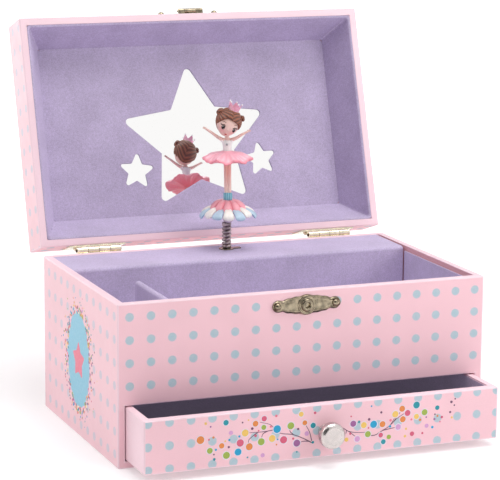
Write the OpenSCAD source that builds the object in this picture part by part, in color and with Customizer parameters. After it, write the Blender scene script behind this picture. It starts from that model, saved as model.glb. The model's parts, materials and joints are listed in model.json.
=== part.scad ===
// Ballerina jewellery box: a paper-covered board box with a front drawer, a hinged
// lid with a star mirror, and a spring-mounted dancer turned by a clockwork movement.
// Millimetres, +Z up. The origin is the centre of the underside of the base board;
// the front of the box faces -Y. It is drawn with the lid open and the drawer ajar.

/* [Box body] */
// Width of the box
body_w = 200; // [180:1:230]
// Depth of the box, front face to back face
body_d = 126; // [120:1:150]
// Height of the box body up to its rim
body_h = 83.5; // [83:0.5:100]
// Thickness of the wall boards
wall = 4; // [3:0.5:5]
// Thickness of the base board
base_t = 3.8; // [3:0.1:5]
// Thickness of the shelf board over the drawer
shelf_t = 3; // [2:0.5:4]
// Height of the drawer opening in the front
mouth_h = 28; // [28:0.5:29.5]

/* [Drawer] */
// Height of the drawer
drawer_h = 27.2; // [24:0.1:27.2]
// Depth of the drawer, front face to back face
drawer_d = 119; // [90:1:120]
// Thickness of the drawer front
drawer_front_t = 4.6; // [4:0.1:6]
// Thickness of the drawer sides and back
drawer_wall = 3.8; // [3:0.1:5]
// Play between the drawer and the box on each side
drawer_play = 0.3; // [0.2:0.1:0.6]
// How far the drawer is pulled out
drawer_out = 27.2; // [0:0.1:100]
// Radius of the knob's head
knob_r = 6.6; // [5:0.1:8]

/* [Lid] */
// Height of the lid, rim to top
lid_h = 23.2; // [23:0.1:30]
// Gap between the lid's rim and the body's rim when shut
lid_gap = 1.5; // [1:0.1:2]
// Angle that the lid stands open
lid_angle = 107.5; // [0:0.5:107.5]
// Depth from the lid's rim to the face of the star panel
panel_depth = 19.8; // [18:0.1:20]
// Thickness of the lid's top board
lid_top_t = 2; // [1.5:0.1:2]

/* [Lining] */
// Thickness of the flocked lining cards
card_t = 0.9; // [0.6:0.1:1]
// How far the lining stops below the body's rim
lining_drop = 2.8; // [2:0.1:4]
// Height of the divider below the rim
divider_drop = 5.7; // [4:0.1:10]
// Distance of the divider from the middle of the box, to the left
divider_x = 64.3; // [50:0.1:75]
// Gap between the divider's back end and the platform
divider_gap = 13; // [0:0.5:30]

/* [Platform] */
// Height of the platform's top below the body's rim
platform_drop = 0.3; // [0.2:0.1:3]
// Depth of the platform, from the inside of the back board
platform_d = 35.5; // [34:0.5:38]

/* [Dancer] */
// Distance of the dancer's axis from the back face of the box
dancer_back = 13.7; // [13.7:0.1:15]
// Angle that the dancer faces, turned about her own axis
dancer_heading = -22; // [-180:1:180]
// Outer radius of the coil spring that she stands on
spring_r = 2.5; // [2.4:0.1:3]
// Radius of the lower skirt
skirt_r = 15.8; // [12:0.1:16]
// Radius of the tutu
tutu_r = 14; // [10:0.1:15]

/* [Movement] */
// Radius of the pinned drum
drum_r = 6.5; // [6:0.1:6.5]
// Number of comb teeth
comb_teeth = 18; // [10:1:24]
// Radius of the spring barrel
barrel_r = 8.6; // [7:0.1:8.6]

/* [Hidden] */
$fn = 48;

// Colours
pink = [0.95, 0.78, 0.81];
lavender = [0.72, 0.65, 0.80];
plum = [0.30, 0.26, 0.33];
nickel = [0.75, 0.72, 0.68];
gilt = [0.86, 0.79, 0.60];
brass = [0.80, 0.65, 0.35];
steel = [0.55, 0.55, 0.58];
skin = [0.92, 0.74, 0.68];

// Box
half_w = body_w / 2;
half_d = body_d / 2;
inner_x = half_w - wall;
inner_y = half_d - wall;
shelf_z = base_t + mouth_h;
floor_z = shelf_z + shelf_t;
lining_top = body_h - lining_drop;
platform_z = body_h - platform_drop;
platform_t = 3;
platform_round = 2.5;
platform_front_t = 2.5;
platform_y = inner_y - platform_d;
divider_t = 3.5;
eyelet_r = 1.9;
eyelet_t = 0.6;

// Drawer, in its shut place
drawer_x = inner_x - drawer_play;
drawer_z = base_t + drawer_play;
drawer_bottom_t = 2;
drawer_lining_t = 0.8;
knob_z = 16.8;
knob_len = 10.5;
knob_screw_r = 1.6;

// Lid, in its shut place
hinge_y = half_d + 3;
hinge_z = body_h + lid_gap / 2;
rim_z = body_h + lid_gap;
lid_top = rim_z + lid_h;
panel_z = rim_z + panel_depth;
panel_t = 1;
card_rim_x = inner_x - 1;
card_rim_y = inner_y - 1;
panel_x = inner_x - 10.5;
panel_front = -inner_y + 10;
panel_back = inner_y - 12;
mirror_x = 56;
mirror_y = 44;
card_z = rim_z + 0.4;

// Hinges
hinge_x = 68;
barrel_len = 25;
knuckles = 4;
knuckle_r = 2;
hinge_pin_r = 0.8;
fit_gap = 0.05;
leaf_w = 32;
leaf_h = 13;
leaf_t = 0.8;
nail_r = 0.6;
nail_head_r = 1.5;
leaf_nail_x = 10.5;
leaf_nail_z = 8;

// Latch
latch_z = 76;
hasp_z = 88;
plate_t = 0.6;
stud_r = 3.5;
stud_len = 2.6;
rivet_r = 1.2;
ring_r = 5.4;
latch_nail_x = 15.8;
latch_nail_r = 1.9;
nail_len = 3.4;
hasp_lift = 4;
ear_x = 5.4;
tongue_y = -half_d - 2;
tongue_t = 0.7;
tongue_r = 1.3;
hasp_pin_r = 0.55;

// Dancer: heights are measured from the platform's top
dancer_y = half_d - dancer_back;
skirt_low = 15.3;
skirt_high = 27.3;
band_high = 31.3;
legs_high = 47.3;
tutu_high = 54.3;
body_high = 61.3;
head_mid = 68.6;
head_r = 6.2;
spindle_r = 1.2;

// Movement
plate_y = inner_y - 1.5;
barrel_z = floor_z + 10.2;
barrel_front = dancer_y + 2.6;
barrel_back = plate_y - 0.2;
crown_h = 0.6;
pinion_r = 1.9;
pinion_z = barrel_z + 6.4;
low_arm_z = pinion_z + 2.8;
wheel_z = low_arm_z + 2.4;
wheel_r = 7.4;
drum_z = wheel_z + 2;
drum_len = 16;
high_arm_z = drum_z + drum_len + 1;
arm_t = 1.8;
arbor_r = 1.5;
gov_x = wheel_r + 1.7;
gov_wheel_r = 4.2;
gov_wheel_z = wheel_z - 3.2;
worm_x = gov_x + gov_wheel_r + 1.3;
worm_z = gov_wheel_z + 0.7;
comb_t = 1.2;
comb_back = -26;
comb_tip = -drum_r - 0.7;
comb_root = comb_back + 9;
comb_edge = 0.4;
comb_cut = 0.24;
comb_screw_x = comb_back + 3.5;
comb_screw_z = [drum_z + 4, drum_z + drum_len - 4];
comb_screw_r = 0.9;
screw_r = 1.2;
screw_spots = [[-24, 40], [-24, 73], [17, 68]];
drum_wheel_teeth = 45;
pinion_teeth = 9;
governor_teeth = 15;
crown_teeth = 40;
tooth_gap = 0.1;
gear_t = 1.4;

// ---- helpers ----

// A straight-sided block between two corners, given as ranges
module block(x, y, z) {
    translate([x[0], y[0], z[0]])
        cube([x[1] - x[0], y[1] - y[0], z[1] - z[0]]);
}

// A flat shape drawn in X and Z, run along Y
module along_y(y0, y1) {
    translate([0, y1, 0])
        rotate([90, 0, 0])
            linear_extrude(y1 - y0)
                children();
}

// A flat shape drawn in Y and Z, run along X
module along_x(x0, x1) {
    translate([x0, 0, 0])
        rotate([90, 0, 90])
            linear_extrude(x1 - x0)
                children();
}

// A round rod along X or Y
module rod_x(x0, x1, y, z, r) {
    translate([x0, y, z])
        rotate([0, 90, 0])
            cylinder(h = x1 - x0, r = r);
}

module rod_y(y0, y1, x, z, r) {
    translate([x, y0, z])
        rotate([-90, 0, 0])
            cylinder(h = y1 - y0, r = r);
}

module rod_z(z0, z1, x, y, r) {
    translate([x, y, z0])
        cylinder(h = z1 - z0, r = r);
}

// The same shape on the left and on the right
module both_sides() {
    children();
    mirror([1, 0, 0])
        children();
}

// From the shut place to the open one
module lid_open() {
    translate([0, hinge_y, hinge_z])
        rotate([-lid_angle, 0, 0])
            translate([0, -hinge_y, -hinge_z])
                children();
}

module drawer_open() {
    translate([0, -drawer_out, 0])
        children();
}

// From the dancer's own frame, feet at the origin and facing -Y
module on_platform() {
    translate([0, dancer_y, platform_z])
        rotate([0, 0, dancer_heading])
            children();
}

// Corners of a toothed outline: each tooth is half of its pitch wide
function gear_points(n, root, tip) = [
    for (i = [0:n - 1], k = [0:3])
        let (a = (i + k / 4) * 360 / n, r = k < 2 ? tip : root)
            [r * cos(a), r * sin(a)]
];

module gear(n, root, tip, h) {
    linear_extrude(h)
        polygon(gear_points(n, root, tip));
}

// ---- box body ----

module base_board() {
    color(pink)
        block([-half_w, half_w], [-half_d, half_d], [0, base_t]);
}

module side_boards() {
    color(pink)
        both_sides()
            block([inner_x, half_w], [-half_d, half_d], [base_t, body_h]);
}

module back_board() {
    color(pink)
        difference() {
            block([-inner_x, inner_x], [inner_y, half_d], [base_t, body_h]);
            rod_y(inner_y - 1, half_d + 1, 0, barrel_z, arbor_r + 0.7);
            for (s = screw_spots)
                rod_y(inner_y - 1, half_d + 1, s[0], s[1], screw_r + 0.1);
        }
}

module front_board() {
    color(pink)
        block([-inner_x, inner_x], [-half_d, -inner_y], [shelf_z, body_h]);
}

module shelf_board() {
    color(lavender)
        block([-inner_x, inner_x], [-inner_y, inner_y], [shelf_z, floor_z]);
}

module floor_lining() {
    color(lavender)
        block([-inner_x, inner_x], [-inner_y, platform_y], [floor_z, floor_z + card_t]);
}

// Front card and the two side cards of the upper compartments
module compartment_lining() {
    z = [floor_z + card_t, lining_top];
    color(lavender) {
        block([-inner_x, inner_x], [-inner_y, card_t - inner_y], z);
        both_sides()
            block([inner_x - card_t, inner_x], [card_t - inner_y, platform_y], z);
    }
}

module divider() {
    low = floor_z + card_t;
    high = body_h - divider_drop - divider_t / 2;
    color(lavender)
        along_y(card_t - inner_y, platform_y - divider_gap)
            translate([-divider_x, 0]) {
                translate([-divider_t / 2, low])
                    square([divider_t, high - low]);
                translate([0, high])
                    circle(r = divider_t / 2);
            }
}

module platform_front() {
    color(lavender)
        block([-inner_x, inner_x], [platform_y, platform_y + platform_front_t],
              [floor_z, platform_z - platform_t]);
}

module platform_top() {
    r = platform_round;
    color(lavender)
        difference() {
            along_x(-inner_x, inner_x)
                intersection() {
                    translate([platform_y, platform_z - platform_t])
                        square([platform_d, platform_t]);
                    union() {
                        translate([platform_y + r, platform_z - platform_t])
                            square([platform_d - r, platform_t]);
                        translate([platform_y + r, platform_z - r])
                            circle(r = r);
                        translate([platform_y, platform_z - 2 * r])
                            square([r, r]);
                    }
                }
            rod_z(platform_z - platform_t - 1, platform_z + 1, 0, dancer_y, eyelet_r);
        }
}

// Bushing for the spindle, with a small side tab pressed onto the platform
module platform_eyelet() {
    color(steel)
        difference() {
            union() {
                rod_z(platform_z - platform_t, platform_z, 0, dancer_y, eyelet_r);
                rod_z(platform_z, platform_z + eyelet_t, 0, dancer_y, 4.2);
                block([0, 8], [dancer_y - 1.5, dancer_y + 1.5], [platform_z, platform_z + eyelet_t]);
            }
            rod_z(platform_z - platform_t - 1, platform_z + 2, 0, dancer_y, spindle_r + fit_gap);
        }
}

// ---- latch on the front of the body ----

// Ornamental outline shared by the latch plate and the hasp plate, centred on its stud
module latch_outline() {
    lobes = [[5.2, 4.3], [10, 3.3], [latch_nail_x, 2.8]];
    circle(r = ring_r);
    for (s = [-1, 1]) {
        for (lobe = lobes)
            translate([s * lobe[0], 0])
                circle(r = lobe[1]);
        translate([s * 12.5 - 3, -1.8])
            square([6, 3.6]);
    }
}

module latch_plate() {
    color(nickel)
        difference() {
            along_y(-half_d - plate_t, -half_d)
                translate([0, latch_z])
                    latch_outline();
            rod_y(-half_d - 1, -half_d + 1, 0, latch_z, rivet_r);
            for (s = [-1, 1])
                rod_y(-half_d - 1, -half_d + 1, s * latch_nail_x, latch_z, nail_r);
        }
}

// Round hollow stud, riveted through the plate
module latch_stud() {
    front = -half_d - plate_t;
    color(nickel)
        difference() {
            union() {
                rod_y(front - stud_len, front, 0, latch_z, stud_r);
                rod_y(front, -half_d + 2, 0, latch_z, rivet_r);
            }
            rod_y(front - stud_len - 1, front - 1, 0, latch_z, 1.3);
        }
}

// Nail with a domed head, driven towards +Y from a face at y
module nail(x, y, z, head_r, shank) {
    translate([x, y, z])
        rotate([-90, 0, 0]) {
            cylinder(h = shank, r = nail_r);
            difference() {
                scale(head_r)
                    sphere(r = 1);
                translate([0, 0, head_r])
                    cube(2 * head_r, center = true);
            }
        }
}

module latch_nails() {
    color(nickel)
        for (s = [-1, 1])
            nail(s * latch_nail_x, -half_d - plate_t, latch_z, latch_nail_r, nail_len);
}

// ---- hinges, drawn in the lid's shut place ----

// Knuckle k of a hinge barrel, counted from its left end
module knuckle(k) {
    pitch = barrel_len / knuckles;
    rod_x(-barrel_len / 2 + k * pitch + 0.1, -barrel_len / 2 + (k + 1) * pitch - 0.1,
          hinge_y, hinge_z, knuckle_r);
}

// One leaf: a plate on the back face, side = -1 below the barrel or 1 above it
module leaf(side) {
    pitch = barrel_len / knuckles;
    first = side < 0 ? 0 : 1;
    z0 = hinge_z + side * (knuckle_r - leaf_t);
    z1 = hinge_z + side * knuckle_r;
    z2 = hinge_z + side * (leaf_h + knuckle_r);
    difference() {
        union() {
            block([-leaf_w / 2, leaf_w / 2], [half_d, half_d + leaf_t], [min(z0, z2), max(z0, z2)]);
            for (k = [first, first + 2]) {
                x0 = -barrel_len / 2 + k * pitch;
                block([x0 + 0.1, x0 + pitch - 0.1], [half_d, hinge_y], [min(z0, z1), max(z0, z1)]);
                knuckle(k);
            }
        }
        rod_x(-leaf_w, leaf_w, hinge_y, hinge_z, hinge_pin_r + fit_gap);
        for (s = [-1, 1])
            rod_y(half_d - 1, half_d + 2, s * leaf_nail_x, hinge_z + side * leaf_nail_z, nail_r);
    }
}

module at_hinges() {
    for (s = [-1, 1])
        translate([s * hinge_x, 0, 0])
            children();
}

module hinge_body_leaves() {
    color(gilt)
        at_hinges()
            leaf(-1);
}

module hinge_pins() {
    color(gilt)
        at_hinges()
            rod_x(-barrel_len / 2 - 0.4, barrel_len / 2 + 0.4, hinge_y, hinge_z, hinge_pin_r);
}

// Nails through one leaf of each hinge, driven from behind
module leaf_nails(side) {
    at_hinges()
        for (s = [-1, 1])
            translate([s * leaf_nail_x, half_d + leaf_t, hinge_z + side * leaf_nail_z])
                mirror([0, 1, 0])
                    nail(0, 0, 0, nail_head_r, nail_len);
}

module hinge_body_nails() {
    color(gilt)
        leaf_nails(-1);
}

// ---- lid ----

module lid_top_board() {
    color(pink)
        lid_open()
            block([-half_w, half_w], [-half_d, half_d], [lid_top - lid_top_t, lid_top]);
}

module lid_front_board() {
    color(pink)
        lid_open()
            block([-inner_x, inner_x], [-half_d, -inner_y], [rim_z, lid_top - lid_top_t]);
}

module lid_back_board() {
    color(pink)
        lid_open()
            block([-inner_x, inner_x], [inner_y, half_d], [rim_z, lid_top - lid_top_t]);
}

module lid_side_boards() {
    color(pink)
        lid_open()
            both_sides()
                block([inner_x, half_w], [-half_d, half_d], [rim_z, lid_top - lid_top_t]);
}

// Slanted front and back cards, cut at the corners on the slant of the side cards
module lid_front_back_cards() {
    color(lavender)
        lid_open()
            intersection() {
                along_x(-inner_x, inner_x) {
                    polygon([[-card_rim_y, card_z], [panel_front, panel_z],
                             [panel_front - card_t, panel_z], [-card_rim_y - card_t, card_z]]);
                    polygon([[card_rim_y, card_z], [card_rim_y + card_t, card_z],
                             [panel_back + card_t, panel_z], [panel_back, panel_z]]);
                }
                along_y(-inner_y, inner_y)
                    polygon([[-card_rim_x, card_z], [card_rim_x, card_z],
                             [panel_x, panel_z], [-panel_x, panel_z]]);
            }
}

module lid_side_cards() {
    color(lavender)
        lid_open()
            intersection() {
                both_sides()
                    along_y(-inner_y, inner_y)
                        polygon([[card_rim_x, card_z], [card_rim_x + card_t, card_z],
                                 [panel_x + card_t, panel_z], [panel_x, panel_z]]);
                along_x(-inner_x, inner_x)
                    polygon([[-card_rim_y - card_t, card_z], [card_rim_y + card_t, card_z],
                             [panel_back + card_t, panel_z], [panel_front - card_t, panel_z]]);
            }
}

// Five-pointed star whose first point is at angle turn
function star_points(r_tip, r_dip, turn) = [
    for (i = [0:9])
        let (a = turn + i * 36, r = i % 2 == 0 ? r_tip : r_dip)
            [r * cos(a), r * sin(a)]
];

// Star openings: the large one leans, and its two right-hand points spread a little
module star_openings() {
    $fn = 24;
    big_star = [
        [0.9, -35.5], [15.6, -13], [42.8, -8.8], [24.9, 12.3], [28.6, 37.8],
        [3.1, 28.3], [-20.9, 39.2], [-19, 12.5], [-38.6, -7], [-11, -12.2]
    ];
    offset(r = 1.6)
        offset(delta = -1.6) {
            polygon(big_star);
            translate([-34, 22])
                polygon(star_points(10.6, 5.4, -84));
            translate([39.7, 19.2])
                polygon(star_points(10.8, 5.5, -96));
        }
}

module star_panel() {
    color(lavender)
        lid_open()
            translate([0, 0, panel_z])
                linear_extrude(panel_t)
                    difference() {
                        translate([-panel_x - card_t, panel_front - card_t])
                            square([2 * (panel_x + card_t), panel_back - panel_front + 2 * card_t]);
                        star_openings();
                    }
}

module mirror_pane() {
    color("white")
        lid_open()
            block([-mirror_x, mirror_x], [-mirror_y, mirror_y],
                  [panel_z + panel_t, lid_top - lid_top_t]);
}

module hinge_lid_leaves() {
    color(gilt)
        lid_open()
            at_hinges()
                leaf(1);
}

module hinge_lid_nails() {
    color(gilt)
        lid_open()
            leaf_nails(1);
}

// ---- hasp on the front of the lid, drawn in the lid's shut place ----

module hasp_plate() {
    color(nickel)
        lid_open()
            difference() {
                union() {
                    along_y(-half_d - plate_t, -half_d)
                        translate([0, hasp_z + hasp_lift])
                            latch_outline();
                    // Two ears that carry the tongue's pin
                    for (s = [-1, 1])
                        translate([s * ear_x, 0, 0]) {
                            rod_x(-1.9, 1.9, tongue_y, hasp_z, tongue_r);
                            block([-1.9, 1.9], [tongue_y, -half_d], [hasp_z - tongue_r, hasp_z + tongue_r]);
                        }
                }
                rod_x(-10, 10, tongue_y, hasp_z, hasp_pin_r + fit_gap);
                for (s = [-1, 1])
                    rod_y(-half_d - 1, -half_d + 1, s * latch_nail_x, hasp_z + hasp_lift, nail_r);
            }
}

module hasp_nails() {
    color(nickel)
        lid_open()
            for (s = [-1, 1])
                nail(s * latch_nail_x, -half_d - plate_t, hasp_z + hasp_lift, latch_nail_r, nail_len);
}

module hasp_pin() {
    color(nickel)
        lid_open()
            rod_x(-7.5, 7.5, tongue_y, hasp_z, hasp_pin_r);
}

// Tongue folded back up on the lid; it swings over and its ring drops on the stud
module hasp_tongue() {
    ring_z = 2 * hasp_z - latch_z;
    near = tongue_y + 0.35;
    color(nickel)
        lid_open()
            difference() {
                union() {
                    rod_x(-3.3, 3.3, tongue_y, hasp_z, tongue_r);
                    along_y(near, near + tongue_t) {
                        translate([0, ring_z])
                            circle(r = ring_r);
                        translate([-2.6, hasp_z])
                            square([5.2, ring_z - hasp_z]);
                    }
                }
                rod_x(-10, 10, tongue_y, hasp_z, hasp_pin_r + fit_gap);
                rod_y(near - 1, near + 2, 0, ring_z, stud_r + 0.4);
            }
}

// ---- drawer, drawn shut and then pulled out ----

module drawer_front() {
    color(pink)
        drawer_open()
            difference() {
                block([-drawer_x, drawer_x], [-half_d, drawer_front_t - half_d],
                      [drawer_z, drawer_z + drawer_h]);
                rod_y(-half_d - 1, drawer_front_t - half_d + 1, 0, knob_z, knob_screw_r + fit_gap);
            }
}

module drawer_sides() {
    color(pink)
        drawer_open()
            both_sides()
                block([drawer_x - drawer_wall, drawer_x],
                      [drawer_front_t - half_d, drawer_d - drawer_wall - half_d],
                      [drawer_z, drawer_z + drawer_h]);
}

module drawer_back() {
    color(pink)
        drawer_open()
            block([-drawer_x, drawer_x], [drawer_d - drawer_wall - half_d, drawer_d - half_d],
                  [drawer_z, drawer_z + drawer_h]);
}

module drawer_bottom() {
    color(pink)
        drawer_open()
            block([drawer_wall - drawer_x, drawer_x - drawer_wall],
                  [drawer_front_t - half_d, drawer_d - drawer_wall - half_d],
                  [drawer_z, drawer_z + drawer_bottom_t]);
}

module drawer_lining() {
    low = drawer_z + drawer_bottom_t;
    color(plum)
        drawer_open()
            block([drawer_wall - drawer_x, drawer_x - drawer_wall],
                  [drawer_front_t - half_d, drawer_d - drawer_wall - half_d],
                  [low, low + drawer_lining_t]);
}

// Turned metal knob: foot, waist and domed head
module knob() {
    color(nickel)
        drawer_open()
            translate([0, -half_d, knob_z])
                rotate([90, 0, 0])
                    difference() {
                        rotate_extrude()
                            difference() {
                                union() {
                                    square([4.4, 1]);
                                    square([3, knob_len - 3]);
                                    translate([0, 4.5])
                                        polygon([[0, 0], [3, 0], [knob_r - 0.8, 1.4], [knob_r, 2.4],
                                                 [knob_r, 3.6], [knob_r - 0.7, 4.6], [knob_r - 2.2, 5.5],
                                                 [2.4, 6], [0, 6]]);
                                }
                                translate([-1, -1])
                                    square([1, knob_len + 2]);
                            }
                        translate([0, 0, -1])
                            cylinder(h = 7.5, r = knob_screw_r + fit_gap);
                    }
}

module knob_screw() {
    inside = drawer_front_t - half_d;
    color(steel)
        drawer_open() {
            rod_y(-half_d - 6, inside, 0, knob_z, knob_screw_r);
            rod_y(inside, inside + 1.6, 0, knob_z, 3.2);
        }
}

// ---- clockwork movement, on the inside of the back board ----

// Bedplate with the two drum bearings and the block that carries the comb
module movement_bedplate() {
    color(gilt)
        difference() {
            union() {
                block([comb_back - 2, 20], [plate_y, inner_y],
                      [floor_z + 1.2, platform_z - platform_t - 1]);
                for (z = [low_arm_z, high_arm_z])
                    block([-3.5, 3.5], [dancer_y - 2.2, plate_y], [z, z + arm_t]);
                block([comb_back, comb_back + 7], [dancer_y + comb_t / 2, plate_y],
                      [drum_z - 0.8, drum_z + drum_len + 0.4]);
            }
            rod_z(low_arm_z - 1, high_arm_z + 5, 0, dancer_y, spindle_r + fit_gap);
            rod_y(plate_y - 1, inner_y + 1, 0, barrel_z, arbor_r + fit_gap);
            for (z = comb_screw_z)
                rod_y(dancer_y, plate_y - 1, comb_screw_x, z, comb_screw_r);
            for (s = screw_spots)
                rod_y(plate_y - 1, inner_y + 1, s[0], s[1], screw_r);
        }
}

// Tuned steel comb: one saw-cut between each two teeth
module comb() {
    pitch = (drum_len - 2 * comb_edge) / comb_teeth;
    color(steel)
        difference() {
            block([comb_back, comb_tip], [dancer_y - comb_t / 2, dancer_y + comb_t / 2],
                  [drum_z + comb_edge, drum_z + drum_len - comb_edge]);
            for (i = [1:comb_teeth - 1])
                translate([0, 0, drum_z + comb_edge + i * pitch])
                    block([comb_root, 0], [dancer_y - 2, dancer_y + 2],
                          [-comb_cut / 2, comb_cut / 2]);
            for (z = comb_screw_z)
                rod_y(dancer_y - 2, dancer_y + 2, comb_screw_x, z, comb_screw_r + 0.1);
        }
}

module comb_screws() {
    front = dancer_y - comb_t / 2;
    color(steel)
        for (z = comb_screw_z) {
            rod_y(front, front + 6, comb_screw_x, z, comb_screw_r);
            rod_y(front - 1.1, front, comb_screw_x, z, 1.7);
        }
}

// Frame that carries the governor's wheel between two ears and its worm across the front
module governor_frame() {
    worm_front = dancer_y - 4.4;
    color(brass)
        difference() {
            union() {
                block([8.2, 18], [plate_y - 1.5, plate_y], [gov_wheel_z - 4, wheel_z + 5]);
                for (z = [gov_wheel_z - 2.8, wheel_z + 2.6])
                    block([gov_x - 2.1, gov_x + 2.1], [dancer_y - 2.4, plate_y - 1.5], [z, z + 1.4]);
                block([worm_x + 1.7, worm_x + 3.2], [worm_front, plate_y - 1.5],
                      [worm_z - 1.5, worm_z + 1.5]);
                block([worm_x - 1.5, worm_x + 3.2], [worm_front, worm_front + 1.1],
                      [worm_z - 1.5, worm_z + 1.5]);
            }
            rod_z(gov_wheel_z - 3.2, wheel_z + 4.4, gov_x, dancer_y, 0.65);
            rod_y(worm_front - 1, plate_y - 0.5, worm_x, worm_z, 0.55);
        }
}

// Screws from outside, through the back board into the bedplate
module movement_screws() {
    color(steel)
        for (s = screw_spots)
            difference() {
                union() {
                    rod_y(plate_y, half_d, s[0], s[1], screw_r);
                    rod_y(half_d, half_d + 1.2, s[0], s[1], 2 * screw_r);
                }
                block([s[0] - 2, s[0] + 2], [half_d + 0.6, half_d + 2], [s[1] - 0.3, s[1] + 0.3]);
            }
}

// Drum with three pins on each tooth's track
module drum() {
    pitch = (drum_len - 2 * comb_edge) / comb_teeth;
    color(brass)
        translate([0, dancer_y, drum_z])
            difference() {
                union() {
                    cylinder(h = drum_len, r = drum_r);
                    for (i = [0:comb_teeth - 1], j = [0:2])
                        rotate([0, 0, 137.5 * i + 120 * j])
                            translate([drum_r - 0.5, 0, comb_edge + (i + 0.5) * pitch])
                                rotate([0, 90, 0])
                                    cylinder(h = 0.9, r = 0.2);
                }
                translate([0, 0, -1])
                    cylinder(h = drum_len + 2, r = spindle_r);
            }
}

// Arbor with the pinion and the drum wheel, running up through the platform as the spindle
module drum_arbor() {
    color(steel)
        translate([0, dancer_y, 0]) {
            translate([0, 0, pinion_z - 0.5])
                cylinder(h = platform_z + 2 - pinion_z + 0.5, r = spindle_r);
            translate([0, 0, pinion_z])
                gear(pinion_teeth, spindle_r + tooth_gap, pinion_r, 2.3);
            translate([0, 0, wheel_z])
                gear(drum_wheel_teeth, wheel_r - 0.6, wheel_r, gear_t);
        }
}

// Barrel with the crown wheel on its front rim
module spring_barrel() {
    color(brass)
        translate([0, 0, barrel_z])
            rotate([-90, 0, 0]) {
                difference() {
                    translate([0, 0, barrel_front])
                        cylinder(h = barrel_back - barrel_front, r = barrel_r);
                    translate([0, 0, barrel_front + 0.7])
                        cylinder(h = barrel_back - barrel_front - 1.4, r = barrel_r - 0.7);
                    translate([0, 0, barrel_front - 1])
                        cylinder(h = barrel_back - barrel_front + 2, r = arbor_r);
                }
                translate([0, 0, barrel_front - crown_h])
                    difference() {
                        gear(crown_teeth, barrel_r - 1.6, barrel_r - 0.05, crown_h);
                        translate([0, 0, -1])
                            cylinder(h = crown_h + 2, r = barrel_r - 2.2);
                    }
            }
}

// Flat spiral, wound out from the arbor to the barrel's wall
module mainspring() {
    turns = 6;
    steps = 20 * turns;
    r0 = arbor_r + 0.3;
    r1 = barrel_r - 1.3;
    function spiral(r_add) = [
        for (i = [0:steps])
            let (a = i * 360 * turns / steps, r = r0 + (r1 - r0) * i / steps + r_add)
                [r * cos(a), r * sin(a)]
    ];
    outer = spiral(0.35);
    color(steel)
        translate([0, 0, barrel_z])
            rotate([-90, 0, 0])
                translate([0, 0, barrel_front + 1])
                    linear_extrude(barrel_back - barrel_front - 2)
                        polygon(concat(spiral(0), [for (i = [steps:-1:0]) outer[i]]));
}

module winding_arbor() {
    color(steel)
        rod_y(barrel_front, half_d + 9, 0, barrel_z, arbor_r);
}

// Butterfly key behind the box
module winding_key() {
    stem = half_d + 0.8;
    color(nickel)
        difference() {
            union() {
                rod_y(stem, stem + 9, 0, barrel_z, 2.6);
                block([-6, 6], [stem + 8, stem + 15], [barrel_z - 0.9, barrel_z + 0.9]);
                for (s = [-1, 1])
                    rod_z(barrel_z - 0.9, barrel_z + 0.9, s * 6.5, stem + 12, 6);
            }
            for (s = [-1, 1])
                rod_z(barrel_z - 2, barrel_z + 2, s * 7.5, stem + 12.5, 2.6);
            rod_y(stem - 1, half_d + 9, 0, barrel_z, arbor_r);
        }
}

module governor_wheel() {
    color(brass)
        translate([gov_x, dancer_y, 0]) {
            translate([0, 0, gov_wheel_z - 2.6])
                cylinder(h = wheel_z - gov_wheel_z + 6.4, r = 0.6);
            translate([0, 0, gov_wheel_z])
                gear(governor_teeth, gov_wheel_r - 0.6, gov_wheel_r, gear_t);
            translate([0, 0, wheel_z])
                gear(pinion_teeth, 1.1, 1.6, gear_t);
        }
}

// Worm shaft with the two-bladed air brake on its front end
module governor_fan() {
    front = dancer_y - 7.4;
    color(steel) {
        rod_y(front, plate_y - 0.7, worm_x, worm_z, 0.5);
        rod_y(dancer_y - 2.8, dancer_y + 2.8, worm_x, worm_z, 1.2);
        rod_y(front, front + 2.6, worm_x, worm_z, 1.2);
        block([worm_x - 5, worm_x + 5], [front + 0.2, front + 2.4], [worm_z - 0.3, worm_z + 0.3]);
    }
}

// ---- dancer, drawn facing -Y with her axis on Z ----

// Sleeve that holds the place of the coil spring
module dancer_spring() {
    color(steel)
        on_platform()
            difference() {
                translate([0, 0, 0.8])
                    cylinder(h = skirt_low - 1, r = spring_r);
                translate([0, 0, -1])
                    cylinder(h = skirt_low + 2, r = spring_r - 0.9);
            }
}

module dancer_skirt() {
    color([0.80, 0.88, 0.96])
        on_platform()
            rotate_extrude()
                polygon([[0, skirt_low - 2.2], [1.4, skirt_low - 2.2], [1.4, skirt_low], [10, skirt_low],
                         [skirt_r, skirt_low + 2.5], [skirt_r, skirt_low + 4], [10.5, skirt_low + 7.5],
                         [7, skirt_high - 1.5], [2.2, skirt_high], [0, skirt_high]]);
}

// Blue ankle band and the two legs above it
module dancer_legs() {
    color(skin)
        on_platform() {
            translate([0, 0, skirt_high])
                cylinder(h = band_high - skirt_high, r = 2.3);
            for (s = [-1, 1])
                translate([s * 0.9, 0, band_high])
                    cylinder(h = legs_high - band_high, r = 0.95);
        }
}

module dancer_tutu() {
    color([1, 0.68, 0.74])
        on_platform()
            rotate_extrude()
                polygon([[0, legs_high], [6, legs_high], [tutu_r, legs_high + 1.2],
                         [tutu_r, legs_high + 3.4], [7, tutu_high - 1.4], [2.4, tutu_high],
                         [0, tutu_high]]);
}

// Round limb from a point to a point, with round ends, turned in one piece
module limb(a, b, r) {
    d = b - a;
    translate(a)
        rotate([0, acos(d[2] / norm(d)), atan2(d[1], d[0])])
            rotate_extrude()
                intersection() {
                    union() {
                        circle(r = r);
                        square([r, norm(d)]);
                        translate([0, norm(d)])
                            circle(r = r);
                    }
                    translate([0, -r])
                        square([r, norm(d) + 2 * r]);
                }
}

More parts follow.
